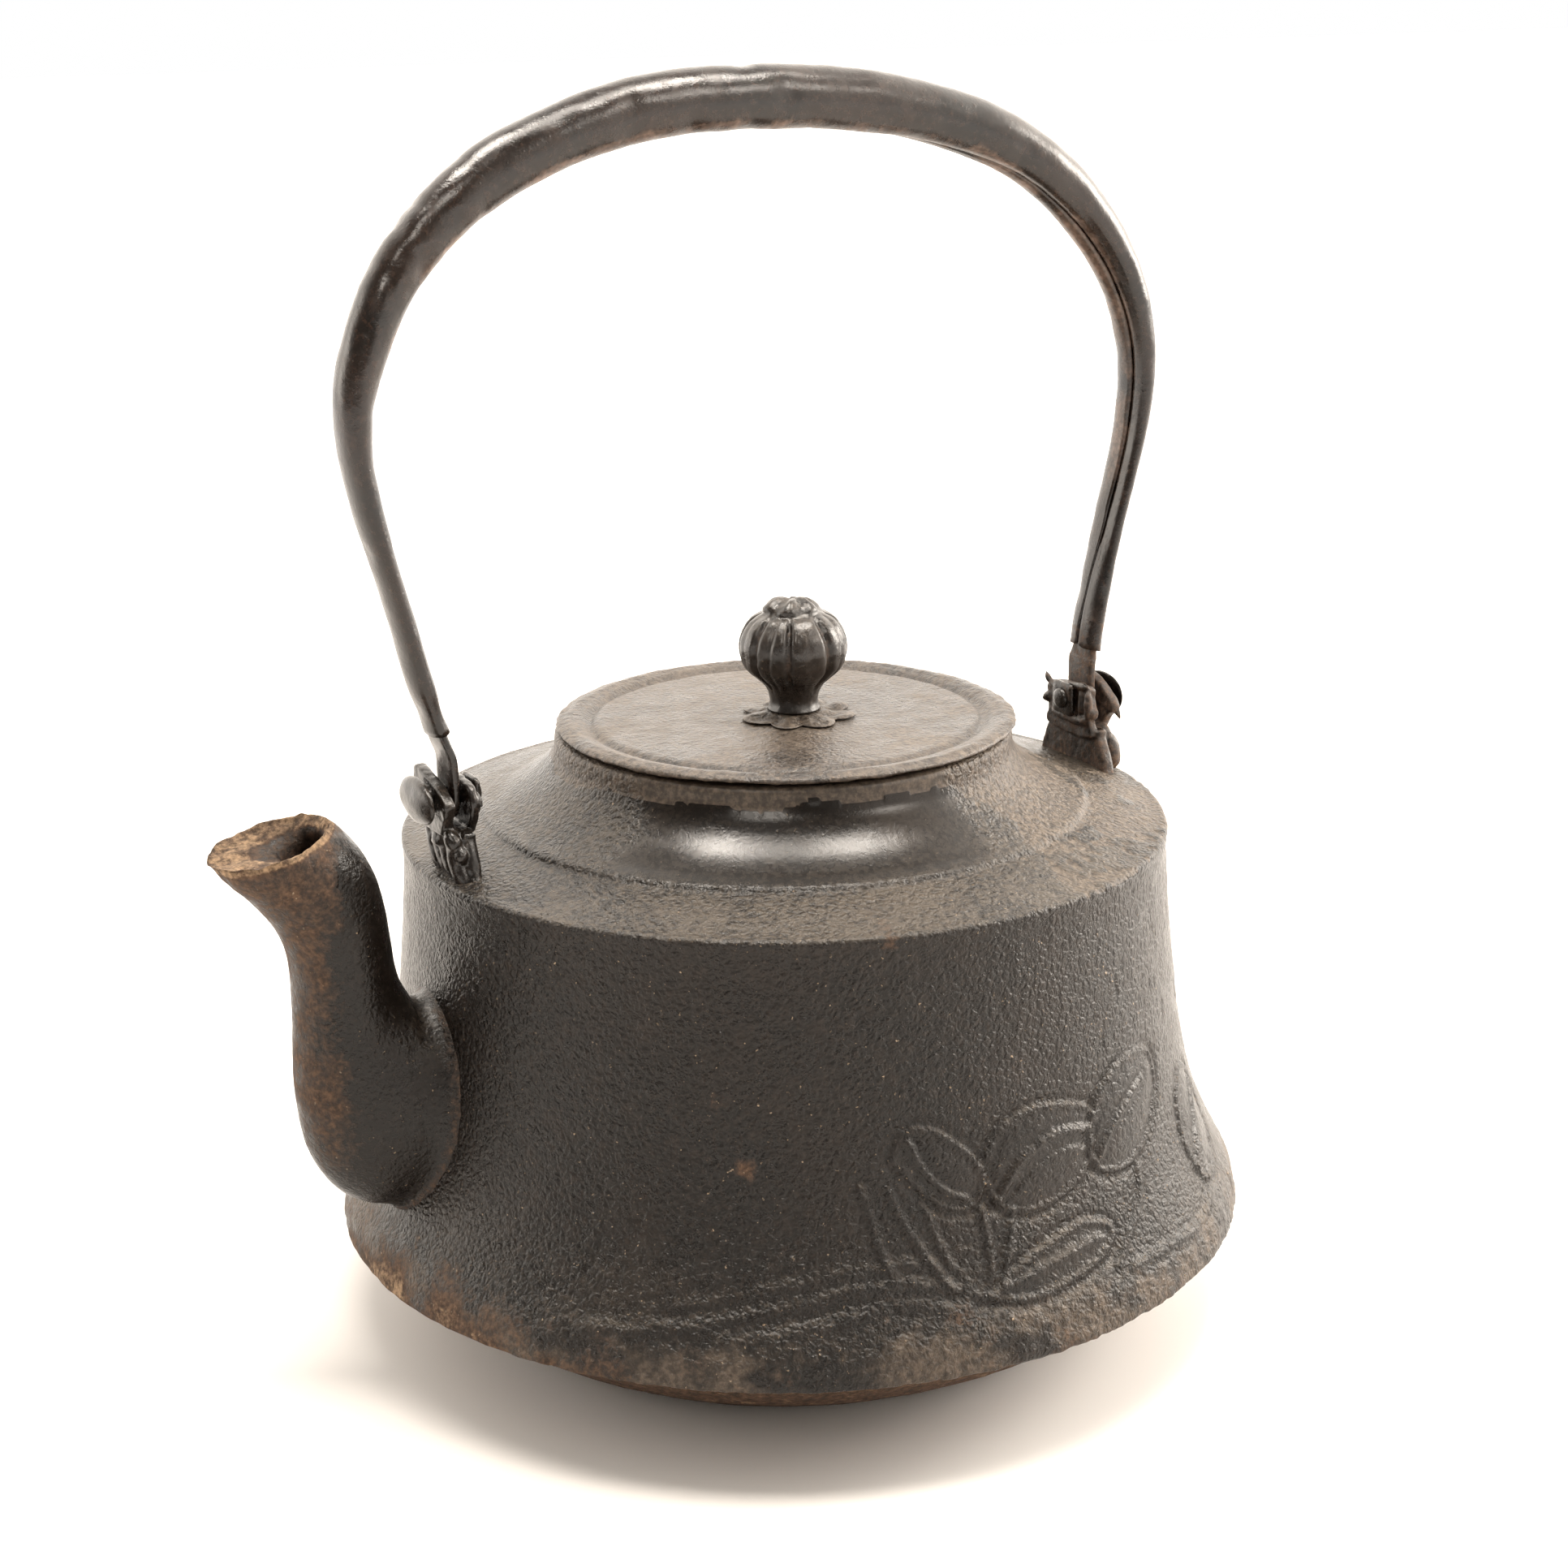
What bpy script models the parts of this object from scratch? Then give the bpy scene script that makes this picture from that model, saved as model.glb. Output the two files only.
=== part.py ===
"""A cast iron kettle: hollow flared body, curved spout, lift-off lid and a swinging hollow bail.

Frame: the origin is on the body's axis at the face it stands on, +Z is up, the spout points
towards -X and the bail's pivots lie on one line along X. Sizes are in millimetres and are
turned into metres where vertices are made.
"""

import math

import bmesh
import bpy
import numpy as np
from mathutils import Matrix, Vector

MM = 0.001
GAP = 0.3  # clearance between two pieces that touch

# Body, from the mouth down its outer side to the edge of the flared skirt: (radius, height).
WALL = 3.0
RIM_TOP = 109.9
MOUTH_RADIUS = 37.9
RIM_RADIUS = 41.9
NECK_SIDE = [(42.1, 108.4), (42.5, 105.6), (44.6, 102.8), (48.0, 100.0), (51.8, 97.9), (54.8, 96.8)]
SHOULDER_SIDE = [(55.6, 95.9), (62.5, 94.1), (69.3, 92.2), (70.2, 91.3)]
WALL_SIDE = [
    (70.3, 85.0), (71.4, 71.5), (73.3, 55.0), (76.2, 41.5), (80.0, 32.0), (83.6, 25.2), (85.0, 20.4),
]
SKIRT_EDGE = [(85.0, 19.4), (84.0, 18.9), (82.9, 19.4)]
BODY_STEPS = 48
SKIRT_POINTS = 6  # how many of the outline's last points the base pan lies inside

# Base pan, from its rim inside the skirt down to the flat that the kettle stands on.
PAN_THICKNESS = 3.0
PAN_RIM_HEIGHT = 24.2
PAN_SIDE = [(79.3, 21.2), (75.2, 15.0), (67.5, 7.6), (59.6, 2.8), (54.6, 0.5)]
BASE_RADIUS = 54.0

# Spout stations: outer point and inner point of each oval section in the plane Y = 0, given
# as (distance from the axis, height), then half the section's width and its wall thickness.
SPOUT_STATIONS = [
    ((63.0, 34.8), (62.0, 70.0), 13.0, 6.0),
    ((76.0, 33.0), (73.6, 69.8), 12.8, 6.0),
    ((87.2, 35.0), (75.8, 72.2), 11.7, 4.6),
    ((94.2, 43.6), (77.2, 75.4), 10.3, 3.7),
    ((96.4, 56.0), (78.0, 79.4), 9.4, 3.2),
    ((95.9, 72.0), (78.6, 85.4), 9.0, 3.0),
    ((96.6, 83.2), (79.6, 91.8), 9.2, 3.0),
    ((101.0, 91.2), (82.2, 98.6), 10.0, 3.2),
    ((106.8, 97.4), (85.8, 103.8), 10.8, 3.6),
    ((109.4, 100.6), (87.8, 106.0), 10.5, 2.6),
]
SPOUT_SUBSTEPS = 2
SPOUT_SIDES = 16

# Lid, a turned disc with a raised edge above and a locating skirt below. It sits a little off
# the mouth's centre, as its loose skirt lets it.
LID_CENTRE = (0.45, -0.2)
LID_RADIUS = 42.1
LID_UNDERSIDE = RIM_TOP + GAP
LID_TOP = 111.1
LID_PLATE_UNDERSIDE = 108.6
LID_SKIRT_BOTTOM = 104.3
LID_SKIRT_RADII = (34.9, 37.0)
LID_EDGE = [(36.4, 110.8), (37.8, 111.5), (40.4, 111.8), (41.7, 111.4), (LID_RADIUS, 110.9), (41.6, 110.4)]
LID_STEPS = 40
PLATE_RADIUS = 35.2

# Knob: a ribbed bud on a narrow neck, with a tenon that goes through the lid. The tenon's hole
# was drilled a little off the lid's centre.
KNOB_CENTRE = (1.8, -0.9)
KNOB_SIDE = [(5.2, 112.5), (4.4, 113.8), (5.3, 116.0), (7.6, 118.6), (9.3, 121.6), (9.8, 124.4)]
KNOB_CROWN = [(9.2, 127.6), (7.3, 130.3), (5.3, 131.7), (4.9, 132.7), (2.6, 133.4)]
KNOB_LOBES = 9
KNOB_RIB_DEPTH = 0.05
TENON_RADIUS = 1.5
TENON_HOLE_RADIUS = TENON_RADIUS + GAP
WASHER_RADIUS = 10.2
WASHER_PETALS = 8
WASHER_PETAL_DEPTH = 0.1
WASHER_THICKNESS = 0.8
WASHER_BOSS_RADIUS = 6.0
BURR_RADIUS = 4.6
BURR_THICKNESS = 1.0
BURR_STEPS = 24
TAIL_RADIUS = 2.5
TAIL_THICKNESS = 0.7

# How far a cutter runs past the piece it cuts, and the stretch of X that both lugs lie in.
OVERRUN = 6.0
PIVOT_REACH = (58.0, 78.0)

# Bail pivots. Distances from the body's axis are the same on the spout side and the far side.
PIVOT_HEIGHT = 106.0
PIN_RADIUS = 1.5
PIN_HOLE_RADIUS = PIN_RADIUS + GAP
INNER_EAR = (62.5, 64.5)
SLOT_FLOOR = 101.4
OUTER_EAR = (67.1, 69.2)
EAR_ROOT = 65.6
EAR_TOP = 110.9
STEM = (63.4, 66.8)
LUG_BOTTOM = 86.0
STEM_OUTLINE = [(12.3, 90.0), (12.0, 93.8), (10.4, 97.4), (9.0, 100.8)]
INNER_EAR_OUTLINE = [
    (8.4, 99.5), (8.2, 102.4), (6.0, 104.4), (8.3, 105.8), (6.7, 107.4), (6.1, 108.9), (2.6, 109.3),
]
OUTER_EAR_OUTLINE = [
    (5.4, 99.4), (5.4, 101.6), (8.4, 104.4), (8.1, 106.5), (6.3, 109.0), (3.5, 110.5), (0.9, EAR_TOP),
]
HEAD_SHARES = [(0.0, 0.86), (0.2, 1.0), (0.55, 0.93), (0.85, 0.7), (1.0, 0.35)]
HEAD_HALF_HEIGHT = 4.1
COLLAR = (69.5, 2.8)
PIN_TAIL = (59.9, 60.7, 2.6)
PIN_BURR = (61.0, 62.2, 3.6)

# What differs between the two lugs: side of the axis, width of the stem against its outline,
# where the pin's head starts, its depth and half its width.
LUGS = {
    "front": (-1, 0.86, 71.0, 2.5, 7.5),
    "rear": (1, 1.0, 70.5, 1.5, 6.8),
}

# Bail: the tube's centre line in the plane Y = 0 as (x, height), from the spout side over
# the top to the far side, and its half thickness and half width at a few heights.
BAIL_PATH = [
    (-67.4, 117.6), (-69.6, 125.4), (-73.9, 142.9), (-77.9, 158.6), (-79.3, 169.6), (-77.6, 180.7),
    (-70.6, 195.6), (-58.9, 207.1), (-44.4, 214.9), (-24.0, 220.2), (0.0, 221.2), (26.8, 218.3),
    (46.9, 211.6), (61.1, 201.8), (71.6, 188.7), (76.6, 173.9), (76.1, 158.6), (71.6, 140.5),
    (67.9, 124.2), (66.4, 115.7),
]
BAIL_HEIGHTS = [115.0, 145.0, 165.0, 185.0, 205.0, 222.0]
BAIL_HALF_THICKNESS = [2.1, 2.1, 2.7, 4.2, 5.0, 5.8]
BAIL_HALF_WIDTH = [4.3, 4.5, 4.8, 4.9, 5.2, 5.8]
BAIL_SHEET = 0.9
BAIL_SUBSTEPS = 2
BAIL_SIDES = 12
SEAM_HALF_ANGLE = math.radians(12)
ROUND_STEPS = 6  # flats in a quarter turn of a tongue's round end

# Tongues: flat ends of the bail between the lug's ears, riveted onto the pins.
TONGUE_CENTRE = 65.75
TONGUE_HALF_THICKNESS = 0.95
TONGUE_RADIUS = 4.0
TONGUE_BEND = 114.7
STUB_HALF_THICKNESS = 0.7
STUB_HALF_WIDTH = 2.1
STUB_LENGTH = 5.5

MATERIALS = {
    "body_iron": ((0.045, 0.036, 0.030), 0.62, 0.55),
    "pan_iron": ((0.060, 0.040, 0.028), 0.78, 0.35),
    "spout_iron": ((0.075, 0.050, 0.036), 0.68, 0.45),
    "lid_iron": ((0.075, 0.060, 0.050), 0.58, 0.55),
    "knob_iron": ((0.040, 0.034, 0.028), 0.50, 0.70),
    "bail_iron": ((0.060, 0.040, 0.033), 0.42, 0.80),
    "lug_iron": ((0.050, 0.038, 0.033), 0.50, 0.70),
}


def clear_scene():
    """Remove whatever objects the scene holds."""
    for obj in list(bpy.data.objects):
        bpy.data.objects.remove(obj, do_unlink=True)


def make_materials():
    """One Principled material for each finish, by name."""
    made = {}
    for name, (colour, roughness, metallic) in MATERIALS.items():
        material = bpy.data.materials.new(name)
        material.use_nodes = True
        shader = material.node_tree.nodes["Principled BSDF"]
        shader.inputs["Base Color"].default_value = (*colour, 1.0)
        shader.inputs["Roughness"].default_value = roughness
        shader.inputs["Metallic"].default_value = metallic
        made[name] = material
    return made


def add_object(name, bm, material=None, parent=None):
    """Link a finished mesh as an object; its vertices are given in millimetres."""
    bmesh.ops.scale(bm, vec=(MM, MM, MM), verts=bm.verts)
    bmesh.ops.recalc_face_normals(bm, faces=bm.faces)
    mesh = bpy.data.meshes.new(name)
    bm.to_mesh(mesh)
    bm.free()
    obj = bpy.data.objects.new(name, mesh)
    bpy.context.scene.collection.objects.link(obj)
    if material:
        mesh.materials.append(material)
        mesh.shade_smooth()
        mesh.set_sharp_from_angle(angle=math.radians(35))
    if parent:
        obj.parent = parent
        obj.matrix_parent_inverse = parent.matrix_world.inverted()
    return obj


def add_cutter(name, bm):
    """An object that only shapes others."""
    cutter = add_object(name, bm)
    cutter.hide_render = True
    cutter.display_type = "WIRE"
    return cutter


def combine(obj, cutter, operation="DIFFERENCE"):
    """Apply a Boolean with the cutter as a modifier."""
    modifier = obj.modifiers.new(f"{operation.lower()}_{cutter.name}", "BOOLEAN")
    modifier.operation = operation
    modifier.solver = "EXACT"
    modifier.object = cutter


def offset_outline(points, distance):
    """Move each point of an outline sideways, positive away from the axis on the way down."""
    moved = []
    for index, point in enumerate(points):
        before = Vector(points[max(index - 1, 0)])
        after = Vector(points[min(index + 1, len(points) - 1)])
        along = (after - before).normalized()
        moved.append((point[0] - along.y * distance, point[1] + along.x * distance))
    return moved


def smooth_path(points, substeps):
    """Points on a smooth curve through the given ones, of any number of coordinates."""
    knots = np.array(points, dtype=float)
    padded = np.vstack([2 * knots[0] - knots[1], knots, 2 * knots[-1] - knots[-2]])
    path = []
    for index in range(len(knots) - 1):
        p0, p1, p2, p3 = padded[index : index + 4]
        for step in range(substeps):
            t = step / substeps
            linear = (p2 - p0) * t
            square = (2 * p0 - 5 * p1 + 4 * p2 - p3) * t**2
            cube = (3 * p1 - p0 - 3 * p2 + p3) * t**3
            path.append(p1 + 0.5 * (linear + square + cube))
    path.append(knots[-1])
    return path


def turned(outline, steps):
    """A solid of revolution about Z from a closed outline of (radius, height) points."""
    bm = bmesh.new()
    rings = []
    for step in range(steps):
        turn = Matrix.Rotation(2 * math.pi * step / steps, 3, "Z")
        rings.append([bm.verts.new(turn @ Vector((r, 0, z))) for r, z in outline])
    for step in range(steps):
        ring, following = rings[step], rings[(step + 1) % steps]
        for index in range(len(outline)):
            after = (index + 1) % len(outline)
            bm.faces.new((ring[index], ring[after], following[after], following[index]))
    bmesh.ops.remove_doubles(bm, verts=bm.verts, dist=1e-4)
    bmesh.ops.dissolve_degenerate(bm, edges=bm.edges, dist=1e-4)
    return bm


def lofted(rings):
    """A tube through rings of as many points each, with flat ends."""
    bm = bmesh.new()
    made = [[bm.verts.new(point) for point in ring] for ring in rings]
    count = len(rings[0])
    for ring, following in zip(made, made[1:]):
        for index in range(count):
            after = (index + 1) % count
            bm.faces.new((ring[index], ring[after], following[after], following[index]))
    bm.faces.new(made[0])
    bm.faces.new(made[-1])
    return bm


def prism(outline, plane, low, high):
    """An outline drawn in the XZ or YZ plane and extruded along the third axis."""
    bm = bmesh.new()
    ends = []
    for depth in (low, high):
        if plane == "XZ":
            ends.append([bm.verts.new((a, depth, z)) for a, z in outline])
        else:
            ends.append([bm.verts.new((depth, a, z)) for a, z in outline])
    bm.faces.new(ends[0])
    bm.faces.new(ends[1])
    for index in range(len(outline)):
        after = (index + 1) % len(outline)
        bm.faces.new((ends[0][index], ends[0][after], ends[1][after], ends[1][index]))
    return bm


def mirrored(half):
    """A closed outline from its half at positive values, listed from the bottom up."""
    return half + [(-a, z) for a, z in reversed(half)]


def span(side, low, high):
    """The stretch along X from low to high off the axis, on the given side, low end first."""
    return sorted((side * low, side * high))


def ellipse(centre, across, along, half_across, half_along, sides):
    """A ring of points round a centre, in the plane of two unit vectors."""
    ring = []
    for index in range(sides):
        angle = 2 * math.pi * index / sides
        ring.append(centre + across * half_across * math.cos(angle) + along * half_along * math.sin(angle))
    return ring


def disc_stack(stations, centre_height, sides=16):
    """A solid along X from stations of (x, half width, half height)."""
    rings = []
    for x, half_width, half_height in stations:
        centre = Vector((x, 0, centre_height))
        rings.append(ellipse(centre, Vector((0, 1, 0)), Vector((0, 0, 1)), half_width, half_height, sides))
    return lofted(rings)


def body_outer_side():
    """The body's outer side from the mouth down, as the points of its outline."""
    return [(RIM_RADIUS - 0.5, RIM_TOP)] + NECK_SIDE + SHOULDER_SIDE + WALL_SIDE


def spout_rings(inset, reach=0.0):
    """The spout's sections, drawn in by inset times the wall, with its ends moved out by reach."""
    rows = [(*outer, *inner, width, wall) for outer, inner, width, wall in SPOUT_STATIONS]
    path = smooth_path(rows, SPOUT_SUBSTEPS)
    rings = []
    for row in path:
        outer, inner = Vector((-row[0], 0, row[1])), Vector((-row[2], 0, row[3]))
        across = (inner - outer).normalized()
        half = (inner - outer).length / 2 - inset * row[5]
        centre = (inner + outer) / 2
        rings.append(ellipse(centre, across, Vector((0, 1, 0)), half, row[4] - inset * row[5], SPOUT_SIDES))
    if reach:
        (outer_x, outer_z), (inner_x, inner_z) = SPOUT_STATIONS[-1][:2]
        out_of_mouth = Vector((outer_z - inner_z, 0, outer_x - inner_x)).normalized()
        rings.insert(0, [point + Vector((2 * reach, 0, 0)) for point in rings[0]])
        rings.append([point + out_of_mouth * reach for point in rings[-1]])
    return rings


def add_envelope():
    """The space the closed body fills, swollen by the gap, which its fittings are cut back from."""
    side = offset_outline(body_outer_side(), GAP)
    bottom = SKIRT_EDGE[0][1] - OVERRUN
    outline = [(0.0, RIM_TOP + GAP)] + side + [(side[-1][0] - OVERRUN, bottom), (0.0, bottom)]
    return add_cutter("body_envelope", turned(outline, BODY_STEPS))


def add_kettle_body(material, spout_channel):
    """The cast shell: neck, shoulder and flared wall, open at the mouth and under the skirt."""
    outer = body_outer_side()
    inner = [point for point in offset_outline(outer, -WALL) if point[0] > MOUTH_RADIUS + WALL]
    mouth = [(MOUTH_RADIUS, RIM_TOP), (MOUTH_RADIUS, inner[0][1] + WALL / 2)]
    outline = outer + SKIRT_EDGE + list(reversed(mouth + inner))
    body = add_object("kettle_body", turned(outline, BODY_STEPS), material)
    combine(body, spout_channel)
    return body


def add_bottom_pan(material):
    """The bowl-shaped base inside the skirt, flat where the kettle stands."""
    skirt_inside = offset_outline(body_outer_side()[-SKIRT_POINTS:], -WALL)
    heights = [z for _, z in reversed(skirt_inside)]
    radii = [r for r, _ in reversed(skirt_inside)]
    rim = float(np.interp(PAN_RIM_HEIGHT, heights, radii)) - 2 * GAP
    side = [(rim, PAN_RIM_HEIGHT)] + PAN_SIDE + [(BASE_RADIUS, 0.0)]
    inside = offset_outline(side, -PAN_THICKNESS)[1:-1]
    outline = [(0.0, 0.0), (0.0, PAN_THICKNESS), (BASE_RADIUS - 1.0, PAN_THICKNESS)]
    outline += list(reversed(inside)) + [(rim - PAN_THICKNESS, PAN_RIM_HEIGHT)] + side
    return add_object("bottom_pan", turned(outline, BODY_STEPS), material)


def add_spout(material, envelope, channel):
    """The curved spout, cut to fit against the body's wall and bored through."""
    spout = add_object("spout", lofted(spout_rings(0.0)), material)
    combine(spout, envelope)
    combine(spout, channel)
    return spout


def add_tenon_hole():
    """The hole through the lid for the knob's tenon."""
    high, low = LID_TOP + OVERRUN, LID_PLATE_UNDERSIDE - OVERRUN
    solid = turned([(0.0, high), (TENON_HOLE_RADIUS, high), (TENON_HOLE_RADIUS, low), (0.0, low)], BURR_STEPS)
    bmesh.ops.translate(solid, vec=(*KNOB_CENTRE, 0.0), verts=solid.verts)
    return add_cutter("tenon_hole", solid)


def add_lid(material, tenon_hole):
    """The turned lid with its raised edge, locating skirt and tenon hole."""
    inner, outer = LID_SKIRT_RADII
    outline = [(0.0, LID_TOP), (PLATE_RADIUS, LID_TOP)] + LID_EDGE
    outline += [(LID_RADIUS - 1.0, LID_UNDERSIDE), (outer, LID_UNDERSIDE), (outer, LID_SKIRT_BOTTOM)]
    outline += [(inner, LID_SKIRT_BOTTOM), (inner, LID_PLATE_UNDERSIDE), (0.0, LID_PLATE_UNDERSIDE)]
    solid = turned(outline, LID_STEPS)
    bmesh.ops.translate(solid, vec=(*LID_CENTRE, 0.0), verts=solid.verts)
    lid = add_object("lid", solid, material)
    combine(lid, tenon_hole)
    return lid


def add_knob(material, parent):
    """The ribbed bud and its tenon, spread under the burr washer to hold it."""
    foot = KNOB_SIDE[0][1]
    tail_top = LID_PLATE_UNDERSIDE - GAP - BURR_THICKNESS - GAP
    tail_bottom = tail_top - TAIL_THICKNESS
    outline = [(0.0, tail_bottom), (TAIL_RADIUS, tail_bottom), (TAIL_RADIUS, tail_top)]
    outline += [(TENON_RADIUS, tail_top), (TENON_RADIUS, foot)] + KNOB_SIDE + KNOB_CROWN
    outline.append((0.0, KNOB_CROWN[-1][1]))
    solid = turned(outline, 4 * KNOB_LOBES)
    for vertex in solid.verts:
        radius = math.hypot(vertex.co.x, vertex.co.y)
        if vertex.co.z > KNOB_SIDE[1][1] and radius > KNOB_CROWN[-1][0]:
            angle = math.atan2(vertex.co.y, vertex.co.x)
            swell = 1 - KNOB_RIB_DEPTH * (0.5 - 0.5 * math.cos(KNOB_LOBES * angle))
            vertex.co.x *= swell
            vertex.co.y *= swell
    bmesh.ops.translate(solid, vec=(*KNOB_CENTRE, 0.0), verts=solid.verts)
    return add_object("lid_knob", solid, material, parent)


def add_knob_washer(material, parent):
    """The low petalled rosette between the knob and the lid."""
    low = LID_TOP + GAP
    high = low + WASHER_THICKNESS
    hole = TENON_HOLE_RADIUS
    edge = (0.94 * WASHER_RADIUS, low + 0.6 * WASHER_THICKNESS)
    outline = [(hole, low), (WASHER_RADIUS, low), edge, (WASHER_BOSS_RADIUS, high), (hole, high)]
    solid = turned(outline, 4 * WASHER_PETALS)
    for vertex in solid.verts:
        if math.hypot(vertex.co.x, vertex.co.y) > WASHER_BOSS_RADIUS + GAP:
            angle = math.atan2(vertex.co.y, vertex.co.x)
            swell = 1 + WASHER_PETAL_DEPTH * math.cos(WASHER_PETALS * angle)
            vertex.co.x *= swell
            vertex.co.y *= swell
    bmesh.ops.translate(solid, vec=(*KNOB_CENTRE, 0.0), verts=solid.verts)
    return add_object("knob_washer", solid, material, parent)


def add_knob_burr(material, parent):
    """The plain washer under the lid that the knob's tenon is peened over."""
    high = LID_PLATE_UNDERSIDE - GAP
    low = high - BURR_THICKNESS
    hole = TENON_HOLE_RADIUS
    outline = [(hole, low), (0.9 * BURR_RADIUS, low), (BURR_RADIUS, high), (hole, high)]
    solid = turned(outline, BURR_STEPS)
    bmesh.ops.translate(solid, vec=(*KNOB_CENTRE, 0.0), verts=solid.verts)
    return add_object("knob_burr_washer", solid, material, parent)


def add_lug(name, side, share, material, envelope, pin_hole):
    """One handle lug: a concave-sided stem on the shoulder that forks into two ears."""
    stem_half = [(share * a, z) for a, z in [(STEM_OUTLINE[0][0], LUG_BOTTOM)] + STEM_OUTLINE]
    stem_outline = mirrored(stem_half)
    lug = add_object(name, prism(stem_outline, "YZ", *span(side, *STEM)), material)
    inner_ear = prism(mirrored(INNER_EAR_OUTLINE), "YZ", *span(side, *INNER_EAR))
    combine(lug, add_cutter(f"{name}_inner_ear", inner_ear), "UNION")
    outer_ear = prism(mirrored(OUTER_EAR_OUTLINE), "YZ", *span(side, EAR_ROOT, OUTER_EAR[1]))
    combine(lug, add_cutter(f"{name}_outer_ear", outer_ear), "UNION")
    half_slot = OUTER_EAR_OUTLINE[2][0] + OVERRUN
    slot = mirrored([(half_slot, SLOT_FLOOR), (half_slot, EAR_TOP + OVERRUN)])
    slot_cutter = add_cutter(f"{name}_slot", prism(slot, "YZ", *span(side, INNER_EAR[1], OUTER_EAR[0])))
    combine(lug, slot_cutter)
    combine(lug, envelope)
    combine(lug, pin_hole)
    return lug


def add_pin_hole():
    """The bore on the pivot line that runs through both lugs and both tongues."""
    far = PIVOT_REACH[1] + OVERRUN
    stations = [(x, PIN_HOLE_RADIUS, PIN_HOLE_RADIUS) for x in (-far, far)]
    return add_cutter("pin_hole", disc_stack(stations, PIVOT_HEIGHT))


def add_pin(name, side, head_start, head_depth, half_width, material):
    """A pivot pin: oval domed head outside, collar, shank and a peened tail inside."""
    tail_start, tail_end, tail_radius = PIN_TAIL
    collar_start, collar_radius = COLLAR
    stations = [(tail_start, 0.8 * tail_radius, 0.8 * tail_radius), (tail_end, tail_radius, tail_radius)]
    stations += [(tail_end, PIN_RADIUS, PIN_RADIUS), (collar_start, PIN_RADIUS, PIN_RADIUS)]
    stations += [(collar_start, collar_radius, collar_radius), (head_start, collar_radius, collar_radius)]
    for depth, share in HEAD_SHARES:
        stations.append((head_start + depth * head_depth, half_width * share, HEAD_HALF_HEIGHT * share))
    placed = [(side * depth, width, height) for depth, width, height in stations]
    return add_object(name, disc_stack(placed, PIVOT_HEIGHT), material)


def add_pin_burr(name, side, material, pin_hole):
    """The small washer under a pin's peened tail."""
    low, high, radius = PIN_BURR
    stations = [(side * low, radius, radius), (side * high, radius, radius)]
    burr = add_object(name, disc_stack(stations, PIVOT_HEIGHT), material)
    combine(burr, pin_hole)
    return burr


def bail_frames():
    """The bail's sections: centre, direction towards the outside of the arch, half sizes."""
    path = [Vector((x, 0, z)) for x, z in smooth_path(BAIL_PATH, BAIL_SUBSTEPS)]
    frames = []
    for index, centre in enumerate(path):
        along = (path[min(index + 1, len(path) - 1)] - path[max(index - 1, 0)]).normalized()
        outward = Vector((-along.z, 0, along.x))
        thickness = float(np.interp(centre.z, BAIL_HEIGHTS, BAIL_HALF_THICKNESS))
        width = float(np.interp(centre.z, BAIL_HEIGHTS, BAIL_HALF_WIDTH))
        frames.append((centre, outward, thickness, width))
    return frames


def add_bail_tube(material, parent):
    """The hollow bail, a rolled sheet whose edges nearly meet along the inside of the arch."""
    bm = bmesh.new()
    sections = []
    for centre, outward, thickness, width in bail_frames():
        shells = []
        for inset in (0.0, BAIL_SHEET):
            shell = []
            for index in range(BAIL_SIDES + 1):
                turn = 2 * math.pi - 2 * SEAM_HALF_ANGLE
                angle = math.pi + SEAM_HALF_ANGLE + turn * index / BAIL_SIDES
                across = outward * (thickness - inset) * math.cos(angle)
                wide = Vector((0, 1, 0)) * (width - inset) * math.sin(angle)
                shell.append(bm.verts.new(centre + across + wide))
            shells.append(shell)
        sections.append(shells[0] + list(reversed(shells[1])))
    count = len(sections[0])
    for section, following in zip(sections, sections[1:]):
        for index in range(count):
            after = (index + 1) % count
            bm.faces.new((section[index], section[after], following[after], following[index]))
    for end in (sections[0], sections[-1]):
        for index in range(BAIL_SIDES):
            bm.faces.new((end[index], end[index + 1], end[count - 2 - index], end[count - 1 - index]))
    return add_object("bail_tube", bm, material, parent)


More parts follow.
